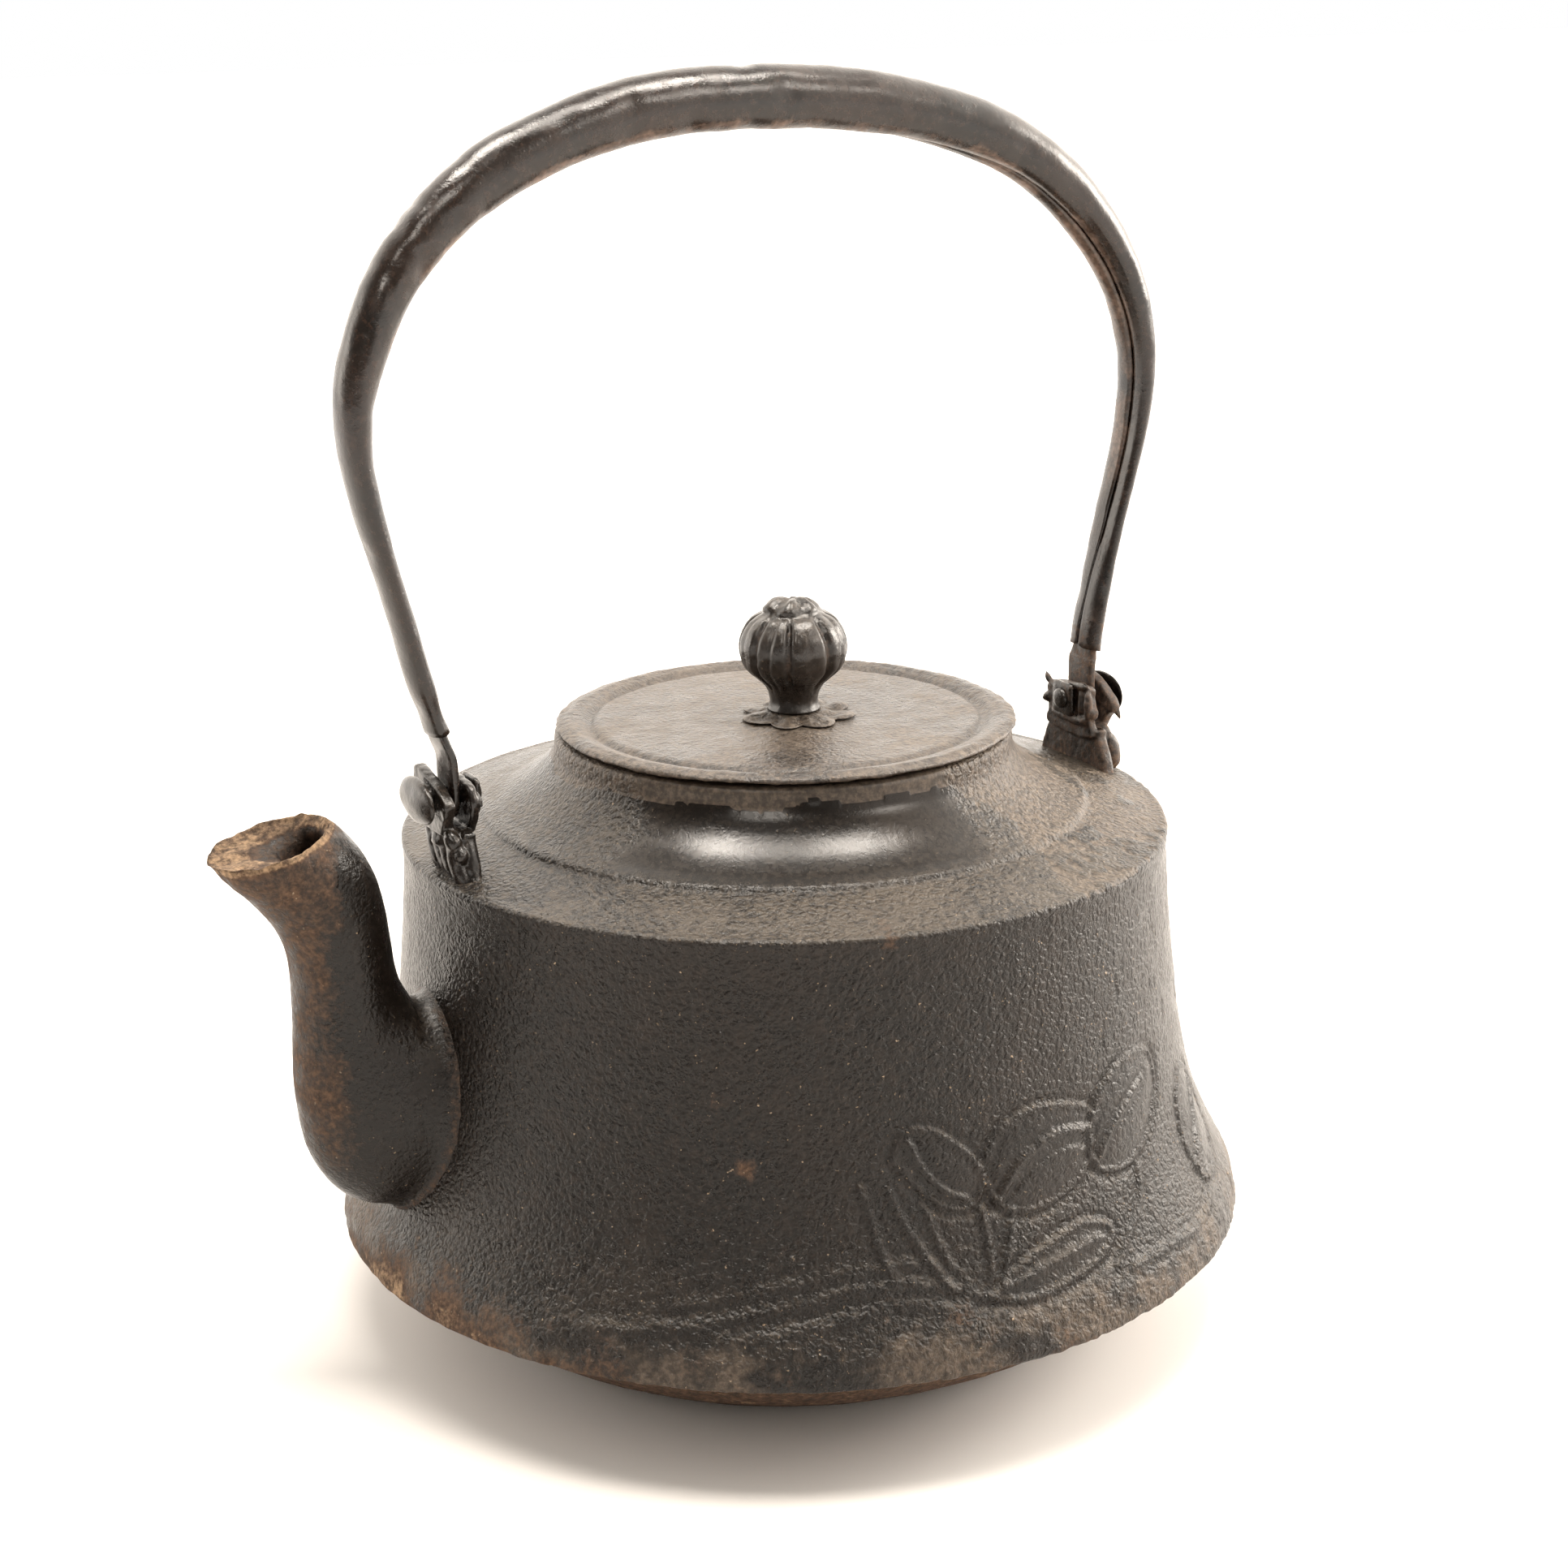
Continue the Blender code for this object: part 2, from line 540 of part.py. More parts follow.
def add_tongue(name, side, material, parent, pin_hole):
    """A flat bail end: a round paddle on the pin, and a stub that goes up into the tube."""
    ends = BAIL_PATH[:2] if side < 0 else BAIL_PATH[:-3:-1]
    entry = Vector((abs(ends[0][0]), ends[0][1]))
    upward = (Vector((abs(ends[1][0]), ends[1][1])) - entry).normalized()
    below = Vector((entry.x - 0.25, entry.y - 0.6))
    tip = entry + upward * STUB_LENGTH
    thick, thin = TONGUE_HALF_THICKNESS, STUB_HALF_THICKNESS
    low = PIVOT_HEIGHT - TONGUE_RADIUS - 1.0
    inner = [(TONGUE_CENTRE - thick, low), (TONGUE_CENTRE - thick, TONGUE_BEND + GAP)]
    inner += [(below.x - thick, below.y), (entry.x - thin, entry.y), (tip.x - thin, tip.y)]
    outer = [(TONGUE_CENTRE + thick, low), (TONGUE_CENTRE + thick, TONGUE_BEND)]
    outer += [(below.x + thick, below.y), (entry.x + thin, entry.y), (tip.x + thin, tip.y)]
    profile = [(side * x, z) for x, z in inner + list(reversed(outer))]
    half_strip = TONGUE_RADIUS + OVERRUN
    tongue = add_object(name, prism(profile, "XZ", -half_strip, half_strip), material, parent)
    shoulder = entry.y - 0.8
    half = []
    for step in range(1, ROUND_STEPS + 1):
        angle = math.radians(90) * (1 - step / ROUND_STEPS)
        half.append((TONGUE_RADIUS * math.cos(angle), PIVOT_HEIGHT - TONGUE_RADIUS * math.sin(angle)))
    half += [(TONGUE_RADIUS, shoulder), (STUB_HALF_WIDTH, shoulder), (STUB_HALF_WIDTH, tip.y + OVERRUN)]
    face = add_cutter(f"{name}_face", prism(mirrored(half), "YZ", *span(side, *PIVOT_REACH)))
    combine(tongue, face, "INTERSECT")
    combine(tongue, pin_hole)
    return tongue


def add_pivot_empty():
    """The line that the bail turns about, as the parent of the bail's pieces."""
    empty = bpy.data.objects.new("bail_axis", None)
    empty.location = (0, 0, PIVOT_HEIGHT * MM)
    bpy.context.scene.collection.objects.link(empty)
    bpy.context.view_layer.update()
    return empty


def main():
    clear_scene()
    finish = make_materials()
    envelope = add_envelope()
    channel = add_cutter("spout_channel", lofted(spout_rings(1.0, reach=OVERRUN)))
    pin_hole = add_pin_hole()

    add_kettle_body(finish["body_iron"], channel)
    add_bottom_pan(finish["pan_iron"])
    add_spout(finish["spout_iron"], envelope, channel)

    lid = add_lid(finish["lid_iron"], add_tenon_hole())
    add_knob(finish["knob_iron"], lid)
    add_knob_washer(finish["lid_iron"], lid)
    add_knob_burr(finish["knob_iron"], lid)

    bail_axis = add_pivot_empty()
    add_bail_tube(finish["bail_iron"], bail_axis)
    for place, (side, share, head_start, head_depth, head_half_width) in LUGS.items():
        add_lug(f"{place}_lug", side, share, finish["lug_iron"], envelope, pin_hole)
        add_pin(f"{place}_pivot_pin", side, head_start, head_depth, head_half_width, finish["lug_iron"])
        add_pin_burr(f"{place}_pin_burr", side, finish["lug_iron"], pin_hole)
        add_tongue(f"{place}_bail_tongue", side, finish["bail_iron"], bail_axis, pin_hole)


main()
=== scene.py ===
"""The looks of a cast iron kettle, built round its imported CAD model.

Outlines and sections are in millimetres in the row frame: the origin is on the body's axis at
the face it stands on, +Z is up and the spout points towards -X. Angles round the axis are in
degrees from +X, so -118 faces the camera.
"""

import itertools
import math

import bmesh
import bpy
import numpy as np
from mathutils import Matrix, Vector


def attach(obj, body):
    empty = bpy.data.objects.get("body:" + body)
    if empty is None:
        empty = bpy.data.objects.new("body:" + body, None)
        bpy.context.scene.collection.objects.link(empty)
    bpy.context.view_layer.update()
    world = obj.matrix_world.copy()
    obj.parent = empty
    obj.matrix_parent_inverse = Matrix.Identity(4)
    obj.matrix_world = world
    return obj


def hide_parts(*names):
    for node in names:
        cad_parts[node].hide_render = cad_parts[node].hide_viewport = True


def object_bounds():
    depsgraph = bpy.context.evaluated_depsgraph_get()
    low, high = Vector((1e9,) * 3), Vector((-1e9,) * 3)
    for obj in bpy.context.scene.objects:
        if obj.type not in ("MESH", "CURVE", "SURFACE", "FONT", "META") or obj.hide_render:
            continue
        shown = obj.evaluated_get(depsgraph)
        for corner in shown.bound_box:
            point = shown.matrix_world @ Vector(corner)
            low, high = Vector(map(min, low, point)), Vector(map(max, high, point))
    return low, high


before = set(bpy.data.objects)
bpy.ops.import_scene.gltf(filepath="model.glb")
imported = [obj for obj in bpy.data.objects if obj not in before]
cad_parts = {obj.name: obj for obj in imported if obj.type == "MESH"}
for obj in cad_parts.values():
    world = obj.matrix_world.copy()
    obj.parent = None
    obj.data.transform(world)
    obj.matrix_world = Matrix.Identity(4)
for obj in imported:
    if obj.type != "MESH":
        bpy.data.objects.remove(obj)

CAD_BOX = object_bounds()
MM = 0.001

# Body, as in the CAD model: (radius, height) down the outer side.
RIM_TOP = 109.9
RIM_SIDE = [(38.4, 109.9), (41.2, 109.9), (42, 109.2)]
NECK_SIDE = [(42.1, 108.4), (42.5, 105.6), (44.6, 102.8), (48, 100), (51.8, 97.9), (54.3, 97)]
STEP_SIDE = [(54.9, 96.8), (55.4, 96.5), (55.9, 95.8)]
SHOULDER_SIDE = [(56.4, 95.6), (62.5, 94.1), (69, 92.4)]
SHOULDER_EDGE = [(69.6, 92.3), (70.1, 92), (70.3, 91.3)]
WALL_SIDE = [
    (70.2, 90.4), (70.3, 85), (71.4, 71.5), (73.3, 55), (76.2, 41.5), (80, 32), (83.6, 25.2),
    (84.9, 20.4),
]
SKIRT_EDGE = [(84.95, 19.5), (84.5, 18.95), (83.6, 18.9), (82.9, 19.4)]
INNER_SIDE = [
    (80.6, 24.1), (77.2, 30.8), (73.3, 40.6), (70.3, 54.6), (68.4, 71.2), (67.3, 85.2), (66.6, 89.6),
    (61.8, 91.2), (54.8, 93.2), (50.4, 95.2), (46.2, 97.7), (42.4, 100.9), (39.8, 104.4),
    (38, 107), (37.9, 109.4),
]
LACQUER = 0.22  # how far the dark skin stands out from the bare iron
SKIRT_LIMIT = 84.97  # no point of the body may lie further out
CARVED_BELOW = 62  # the wall's mesh is finer below this height, where the relief is
COLUMN_ARCS = ((-150, -112, 0.6), (-112, -34, 0.32), (-34, 210, 1.62))  # from, to, step in degrees

# Relief on the wall, as (angle, height) points. A leaf is an outline and how far it stands out; a
# line is a path, its half width and how far it stands out.
LEAVES = [
    ([(-91, 45.1), (-92, 50.5), (-89.8, 55.5), (-85.2, 58.2), (-79.9, 57.8), (-73.4, 54.7),
      (-73.6, 50.3), (-74.7, 46.3), (-78.8, 43.4), (-84.5, 41.8), (-88.8, 42.8)], 0.75),
    ([(-73.9, 51.4), (-71, 56.4), (-65.6, 59.8), (-58.4, 59.4), (-56.2, 53.6), (-60.2, 46),
      (-66.2, 42.8), (-71.6, 43.3), (-74.2, 46.1)], 0.75),
    ([(-50.6, 38.6), (-48.8, 45.5), (-44.4, 49.4), (-39.4, 46), (-37.6, 36), (-42.6, 30.4),
      (-48.4, 30.8)], 0.65),
    ([(-104.7, 54.4), (-103.1, 58.5), (-99.6, 58.6), (-95.6, 55.2), (-92.4, 50.2), (-93.6, 45.4),
      (-97.6, 45.2), (-101.6, 49.6)], 0.6),
    ([(-93.3, 30.2), (-88.5, 28.8), (-82.1, 29.6), (-76, 31.4), (-73.6, 34.3), (-77.5, 37),
      (-83.2, 36.1), (-88.5, 33.9)], 0.6),
]
VEINS = [
    ([(-90.6, 44.4), (-89, 47.4), (-85.8, 51), (-80.3, 53.1), (-74.2, 51.8)], 0.68, 0.75),
    ([(-88.4, 45.6), (-84, 49.4), (-79, 50.6), (-75.2, 49.6)], 0.52, -0.4),
    ([(-73.4, 45.6), (-69.6, 50.3), (-63.6, 54), (-61, 55.2)], 0.6, 0.7),
    ([(-49, 33), (-44.6, 39), (-40.6, 45.4)], 0.6, 0.55),
    ([(-102.6, 57.4), (-100.9, 52.5), (-97.8, 48), (-94.9, 46.2)], 0.6, 0.7),
    ([(-91.6, 31), (-84, 33), (-76.2, 34)], 0.6, 0.5),
]
STEMS = [
    ([(-109, 50.3), (-107.9, 45.5), (-106.9, 40.2), (-105.4, 35.2)], 0.68, 0.55),
    ([(-105.4, 49.2), (-103.5, 43.6), (-100.8, 37.4), (-98.3, 32.5)], 0.68, 0.6),
    ([(-100.6, 45.8), (-99.6, 41), (-98.2, 36.4)], 0.6, 0.45),
    ([(-93, 44), (-92.7, 38.7), (-92.9, 33.6), (-94.3, 30.4)], 0.68, 0.7),
    ([(-88.7, 42.1), (-89.7, 37.9), (-91.1, 33.2), (-93.3, 30.2)], 0.68, 0.7),
    ([(-64.8, 41.6), (-66.8, 35.9), (-71, 32.3), (-74.3, 28.5)], 0.68, 0.55),
    ([(-46, 31.2), (-50.6, 27.8), (-57, 26.6), (-64, 27.4), (-72, 27.6)], 0.68, 0.55),
]
WATER_LINES = [
    ([(-143, 27), (-129.9, 29), (-120.4, 31.8), (-110.7, 34.1), (-100.7, 33.7), (-94, 30.6)],
     1.04, 0.36),
    ([(-132, 31.6), (-120.4, 34.6), (-110.6, 36.8), (-103.4, 37.2), (-97.4, 35.3)], 0.85, 0.3),
    ([(-126, 27.4), (-115.7, 28.9), (-105.9, 31.6), (-97.1, 29.6)], 0.94, 0.27),
]

# Where the lacquer ends below the mouth, as (angle, height); it climbs back over the far side.
BARE_EDGE = [
    (-180, 104.8), (-161, 106.2), (-146, 106.2), (-136, 107), (-128, 106.2),
    (-119, 105.8), (-111.7, 107.3), (-100, 106.4), (-87.6, 107), (-76, 106.4), (-67, 102.6),
    (-62, 98.6), (-56, 96.2), (-44, 95), (-30, 97), (-10, 103), (20, 105.8),
    (70, 104.4), (110, 106.4), (150, 105), (180, 104.8),
]

# Spout: outer and inner point of each oval section as (distance from the axis, height), and half
# the section's width.
SPOUT_STATIONS = [
    ((63, 34.8), (62, 70), 13), ((76, 33), (73.6, 69.8), 12.8),
    ((87.2, 35), (75.8, 72.2), 11.7), ((94.2, 43.6), (77.2, 75.4), 10.3),
    ((96.4, 56), (78, 79.4), 9.4), ((95.9, 72), (78.6, 85.4), 9),
    ((96.6, 83.2), (79.6, 91.8), 9.2), ((101, 91.2), (82.2, 98.6), 10),
    ((106.6, 97.2), (85.8, 103.8), 10.6), ((109, 100.5), (87.8, 105.7), 10.2),
]
SPOUT_SIDES = 84
SPOUT_ROWS = 96
BORE_SHARE = 0.44  # of the outer section, well below the mouth
BORE_HALF = (4.6, 5.2)  # the most that the bore's half sizes may be, across and along the oval
MOUTH_ROWS = 9

# Lid and knob, drawn as (radius, height).
LID_CENTRE = (0.45, -0.2)
LID_TOP = 111.9
KNOB_TOP = 133.4
LID_SIDE = [
    (0, 111.1), (34.6, 111.15), (35.3, 110.95), (36, 110.75), (36.9, 110.95), (38.2, 111.45),
    (39.9, 111.7), (41.2, 111.5), (41.9, 111.1), (42.1, 110.75), (41.8, 110.4), (41, 110.25),
    (37.2, 110.2), (37, 109.9), (36.9, 104.6), (36.6, 104.3), (35.2, 104.3), (34.9, 104.6),
    (34.9, 108.4), (34.5, 108.6), (1.9, 108.6),
]
KNOB_CENTRE = (1.8, -0.9)
KNOB_SIDE = [
    (1.5, 106.9), (1.5, 112.5), (4.9, 112.5), (4.4, 114), (4.7, 115.7), (5.6, 117.4), (7.4, 119.1),
    (9, 120.8), (9.6, 122.8), (9.75, 124.8), (9.3, 126.8), (8.3, 128.5), (7, 129.8), (5.7, 130.5),
    (5.4, 131), (5.2, 131.7), (3.9, 132.7), (2, 133.2), (0, 133.3),
]
KNOB_TAIL = [(0, 105.3), (2.2, 105.35), (2.5, 105.7), (2.5, 106)]
KNOB_LOBES = 9

# Bail: its centre line in the plane Y = 0, and half sizes by height.
BAIL_PATH = [
    (-67.4, 117.6), (-69.6, 125.4), (-73.9, 142.9), (-77.9, 158.6), (-79.3, 169.6), (-77.6, 180.7),
    (-70.6, 195.6), (-58.9, 207.1), (-44.4, 214.9), (-24, 220.2), (0, 221.2), (26.8, 218.3),
    (46.9, 211.6), (61.1, 201.8), (71.6, 188.7), (76.6, 173.9), (76.1, 158.6), (71.6, 140.5),
    (67.9, 124.2), (66.4, 115.7),
]
BAIL_HEIGHTS = [115, 145, 165, 185, 205, 222]
BAIL_HALF_THICKNESS = [2.1, 2.1, 2.7, 4.2, 5, 5.8]
BAIL_HALF_WIDTH = [4.3, 4.5, 4.8, 4.9, 5.2, 5.8]
BAIL_SHEET = 0.9
BAIL_SIDES = 46
BAIL_SPACING = 1.1
PIVOT_HEIGHT = 106
TONGUE_CENTRE = 65.75
TONGUE_BEND = 114.7
TONGUE_HALF_WIDTH = 3.9
CLEVIS_SLOT = (64.45, 67.05)  # between the ears, where the tongue swings
SLOT_FLOOR = 101.45
FORGED_VOXEL = 0.25

# Colours.
RUST = (0.085, 0.049, 0.03)
TAN = (0.4, 0.265, 0.155)
DEEP = (0.0065, 0.005, 0.004)
WARM = (0.016, 0.011, 0.008)
SETTLED_DUST = (0.27, 0.222, 0.168)
SPECK = (0.34, 0.25, 0.165)
WHITE = (1, 1, 1)
WARM_LIGHT = (1, 0.925, 0.835)
PAPER = (0.9, 0.88, 0.86)

# Stage, in metres. The photograph's axes are level, away from the camera and to its right.
PHOTO_BACK = (0.4695, 0.8829, 0)
PHOTO_RIGHT = (0.8829, -0.4695, 0)
CAMERA_TURN = math.radians(28)
CAMERA_PITCH = 0.291
CAMERA_ROLL = -0.014
CAMERA_PLACE = (0, -0.4903, 0.2448)
CAMERA_LENS = 63.64
FLOOR_REACH = 6
FLOOR_DROP = -0.0002
AIM = (0, 0, 0.09)


# ---- Number helpers ----


def hashed(cells, seed):
    """A repeatable value from 0 to 1 for each lattice point."""
    mixed = cells[..., 0] * 374761393 + cells[..., 1] * 668265263 + cells[..., 2] * 1440662683
    mixed = (mixed + seed * 362437) & 0xFFFFFFFF
    mixed = ((mixed ^ (mixed >> 13)) * 1274126177) & 0xFFFFFFFF
    return ((mixed ^ (mixed >> 16)) & 0xFFFF) / 65535


def noise(points, cell, seed=0):
    """Smooth noise from -1 to 1 whose blobs are about one cell across."""
    scaled = points / cell + 1000
    low = np.floor(scaled).astype(np.int64)
    part = scaled - low
    part = part * part * (3 - 2 * part)
    total = 0
    for corner in itertools.product((0, 1), repeat=3):
        step = np.array(corner)
        share = np.prod(np.where(step == 1, part, 1 - part), axis=-1)
        total += share * hashed(low + step, seed)
    return 2 * total - 1


def rough(points, cell, seed=0, octaves=3):
    """Noise with finer and finer detail added."""
    total = 0
    for octave in range(octaves):
        total += noise(points, cell / 2**octave, seed + octave) / 2**octave
    return total / 1.6


def ramp(values, low, high):
    """0 below low, 1 above high, and smooth between."""
    share = np.clip((values - low) / (high - low), 0, 1)
    return share * share * (3 - 2 * share)


def smooth(points, substeps=8):
    """Points on a smooth curve through the given ones."""
    knots = np.array(points, dtype=float)
    padded = np.vstack([2 * knots[0] - knots[1], knots, 2 * knots[-1] - knots[-2]])
    path = []
    for index in range(len(knots) - 1):
        p0, p1, p2, p3 = padded[index : index + 4]
        for t in np.arange(substeps) / substeps:
            square = (2 * p0 - 5 * p1 + 4 * p2 - p3) * t**2
            bend = (p2 - p0) * t + square + (3 * p1 - p0 - 3 * p2 + p3) * t**3
            path.append(p1 + 0.5 * bend)
    return np.vstack([path, knots[-1]])


def resample(path, spacing=None, count=None):
    """The same path with points spaced evenly along it."""
    path = np.asarray(path, dtype=float)
    along = np.concatenate([[0], np.cumsum(np.linalg.norm(np.diff(path, axis=0), axis=1))])
    count = count or max(2, int(round(along[-1] / spacing)) + 1)
    at = np.linspace(0, along[-1], count)
    return np.column_stack([np.interp(at, along, path[:, axis]) for axis in range(path.shape[1])])


def hump(values, width):
    """1 at 0, falling away smoothly on both sides."""
    return np.exp(-((values / width) ** 2))


def circle(count):
    """Angles evenly spaced round a full turn."""
    return np.linspace(0, 2 * math.pi, count, endpoint=False)


def from_axis(points):
    """Each point's distance from the body's axis."""
    return np.hypot(points[..., 0], points[..., 1])


def directions(path, closed=False):
    """Unit vectors along a path."""
    along = np.gradient(path, axis=0)
    if closed:
        along = np.roll(path, -1, axis=0) - np.roll(path, 1, axis=0)
    return along / np.maximum(np.linalg.norm(along, axis=1, keepdims=True), 1e-9)


def outline_normals(outline, closed=True):
    """Unit vectors to the left of each step along a planar outline."""
    along = directions(outline, closed)
    return np.column_stack([-along[:, 1], along[:, 0]])


def distance_to_line(x, y, line):
    """Distance of each point (x, y) from a chain of points."""
    best = np.full(x.shape, 1e9)
    for (ax, ay), (bx, by) in zip(line[:-1], line[1:]):
        dx, dy = bx - ax, by - ay
        share = np.clip(((x - ax) * dx + (y - ay) * dy) / (dx * dx + dy * dy + 1e-12), 0, 1)
        best = np.minimum(best, np.hypot(x - ax - share * dx, y - ay - share * dy))
    return best


def inside_outline(x, y, line):
    """True where a point lies inside a closed chain of points."""
    inside = np.zeros(x.shape, dtype=bool)
    for (ax, ay), (bx, by) in zip(line, np.roll(line, -1, axis=0)):
        crosses = (ay > y) != (by > y)
        inside ^= crosses & (x < (bx - ax) * (y - ay) / (by - ay + 1e-12) + ax)
    return inside


# ---- Mesh helpers ----


def store(mesh, **tints):
    """Keep named values, one for all the mesh's points or one each, for its material to read."""
    for name, values in tints.items():
        layer = mesh.attributes.get(name) or mesh.attributes.new(name, "FLOAT", "POINT")
        each = np.broadcast_to(np.ravel(values), len(mesh.vertices))
        layer.data.foreach_set("value", each.astype(np.float32))


def read(items, what):
    """A vector for each point of a mesh."""
    flat = np.empty(len(items) * 3, dtype=np.float32)
    items.foreach_get(what, flat)
    return flat.reshape(-1, 3)


def new_object(name, data):
    """An object in the scene for a mesh, a light or a camera."""
    obj = bpy.data.objects.new(name, data)
    bpy.context.scene.collection.objects.link(obj)
    return obj


def mesh_object(name, points, faces, tints):
    """An object from points in millimetres; tints are what store takes."""
    mesh = bpy.data.meshes.new(name)
    mesh.from_pydata((np.asarray(points) * MM).tolist(), [], faces)
    store(mesh, **tints)
    bm = bmesh.new()
    bm.from_mesh(mesh)
    bmesh.ops.remove_doubles(bm, verts=bm.verts, dist=1e-6)
    bmesh.ops.recalc_face_normals(bm, faces=bm.faces)
    bm.to_mesh(mesh)
    bm.free()
    mesh.shade_smooth()
    return new_object(name, mesh)


def grid_object(name, points, wrap_rows=False, caps=False, **tints):
    """An object over a grid of points (rows, columns, 3) whose columns go all the way round."""
    rows, columns = points.shape[:2]
    index = np.arange(rows * columns).reshape(rows, columns)
    below = np.roll(index, -1, axis=0) if wrap_rows else index[1:]
    above = index if wrap_rows else index[:-1]
    quads = np.stack([above, below, np.roll(below, -1, axis=1), np.roll(above, -1, axis=1)], axis=-1)
    faces = quads.reshape(-1, 4).tolist()
    if caps:
        faces += [index[0].tolist(), index[-1].tolist()]
    return mesh_object(name, points.reshape(-1, 3), faces, tints)


def turned_points(outline, angles, centre=(0, 0)):
    """A grid of points from an outline of (radius, height) at each angle in radians."""
    radius, height = outline[:, 0][:, None], outline[:, 1][:, None]
    x = centre[0] + radius * np.cos(angles)
    y = centre[1] + radius * np.sin(angles)
    return np.stack([x, y, height + 0 * angles], axis=-1)


def outward(outline, angles, closed=True):
    """The surface directions that go with turned_points, for an outline drawn clockwise."""
    radial, upward = outline_normals(outline, closed).T[:, :, None]
    return np.stack([radial * np.cos(angles), radial * np.sin(angles), upward + 0 * angles], -1)


def sharpen(obj, degrees):
    """Hard edges where faces meet at a steep angle."""
    obj.data.set_sharp_from_angle(angle=math.radians(degrees))


def cut(obj, cutter):
    """Take the cutter away from the object and apply the result."""
    modifier = obj.modifiers.new("cut", "BOOLEAN")
    modifier.object = cutter
    modifier.solver = "EXACT"
    settle(obj)
    bpy.data.objects.remove(cutter)


def settle(obj):
    """Apply the object's modifiers to its mesh."""
    bpy.context.view_layer.update()
    evaluated = obj.evaluated_get(bpy.context.evaluated_depsgraph_get())
    mesh = bpy.data.meshes.new_from_object(evaluated)
    obj.modifiers.clear()
    obj.data = mesh


def place(obj, body, slot, material, *nodes):
    """Finish a piece: its dust, its material, the body it rides on and the CAD nodes it stands for."""
    mesh = obj.data
    store(mesh, dust=ramp(read(mesh.vertex_normals, "vector")[:, 2], 0.25, 0.95))
    mesh.materials.clear()
    mesh.materials.append(material)
    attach(obj, body)
    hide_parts(*nodes)


# ---- Materials ----


class Nodes:
    """Short ways to add shader nodes to a material or a world."""

    def __init__(self, owner, shader="Principled BSDF", space="Object"):
        owner.use_nodes = True
        self.tree = owner.node_tree
        self.place = self.add("TexCoord").outputs[space]
        self.inputs = self.tree.nodes[shader].inputs

    def add(self, kind, inputs=None, **settings):
        """A node, with its settings and its inputs given as values or as other nodes' outputs."""
        node = self.tree.nodes.new("ShaderNode" + kind)
        for name, value in settings.items():
            setattr(node, name, value)
        for name, value in (inputs or {}).items():
            self.feed(node.inputs[name], value)
        return node

    def feed(self, socket, value):
        if isinstance(value, bpy.types.NodeSocket):
            self.tree.links.new(value, socket)
        elif isinstance(value, tuple) and socket.type == "RGBA":
            socket.default_value = (*value, 1)
        else:
            socket.default_value = value

    def finish(self, **values):
        """Set the shader's own inputs, named with underscores for spaces."""
        for name, value in values.items():
            self.feed(self.inputs[name.replace("_", " ")], value)

    def noise(self, millimetres, detail=4, roughness=0.55):
        """Fractal noise whose features are about the given size."""
        scale = 1 / (millimetres * MM)
        values = {"Vector": self.place, "Scale": scale, "Detail": detail, "Roughness": roughness}
        return self.add("TexNoise", values).outputs["Fac"]

    def cells(self, millimetres, warp):
        """Distance from the borders of irregular cells, bent by warp millimetres."""
        waves = {"Vector": self.place, "Scale": 0.6 / (millimetres * MM), "Detail": 2}
        bent = self.add("TexNoise", waves).outputs["Color"]
        shift = self.add("VectorMath", {0: bent, "Scale": warp * MM}, operation="SCALE").outputs[0]
        place = self.add("VectorMath", {0: self.place, 1: shift}, operation="ADD").outputs[0]
        values = {"Vector": place, "Scale": 1 / (millimetres * MM)}
        return self.add("TexVoronoi", values, feature="DISTANCE_TO_EDGE").outputs["Distance"]

    def tint(self, name):
        """A value stored on the mesh's points."""
        return self.add("Attribute", attribute_name=name).outputs["Fac"]

    def span(self, value, low, high, bottom, top, curve="LINEAR"):
        """A value that goes from low to high, made to go from bottom to top and held there."""
        limits = {"From Min": low, "From Max": high, "To Min": bottom, "To Max": top}
        node = self.add("MapRange", {"Value": value, **limits}, interpolation_type=curve)
        return node.outputs["Result"]

    def step(self, value, low, high):
        """0 below low, 1 above high and smooth between; falling instead if low is above high."""
        return self.span(value, low, high, 0, 1, "SMOOTHSTEP")

    def scale(self, value, low, high):
        """A value from 0 to 1 stretched to run from low to high."""
        return self.span(value, 0, 1, low, high)

    def plus(self, first, second):
        return self.add("Math", {0: first, 1: second}, operation="ADD").outputs[0]

    def times(self, *values):
        """All the values multiplied together."""
        total = values[0]
        for value in values[1:]:
            total = self.add("Math", {0: total, 1: value}, operation="MULTIPLY").outputs[0]
        return total

    def mix(self, share, first, second):
        """One colour blended into another."""
        return self.add("Mix", {0: share, 6: first, 7: second}, data_type="RGBA").outputs[2]

    def blend(self, share, first, second):
        """One number blended into another."""
        return self.add("Mix", {0: share, 2: first, 3: second}, data_type="FLOAT").outputs[0]

    def bump(self, height, millimetres, **normal):
        """A bump that is as deep as the given size where the height is 1."""
        inputs = {"Height": height, "Distance": millimetres * MM, "Strength": 1, **normal}
        return self.add("Bump", inputs).outputs["Normal"]


def shade(colour, share):
    """A colour made darker or lighter."""
    return tuple(share * part for part in colour)


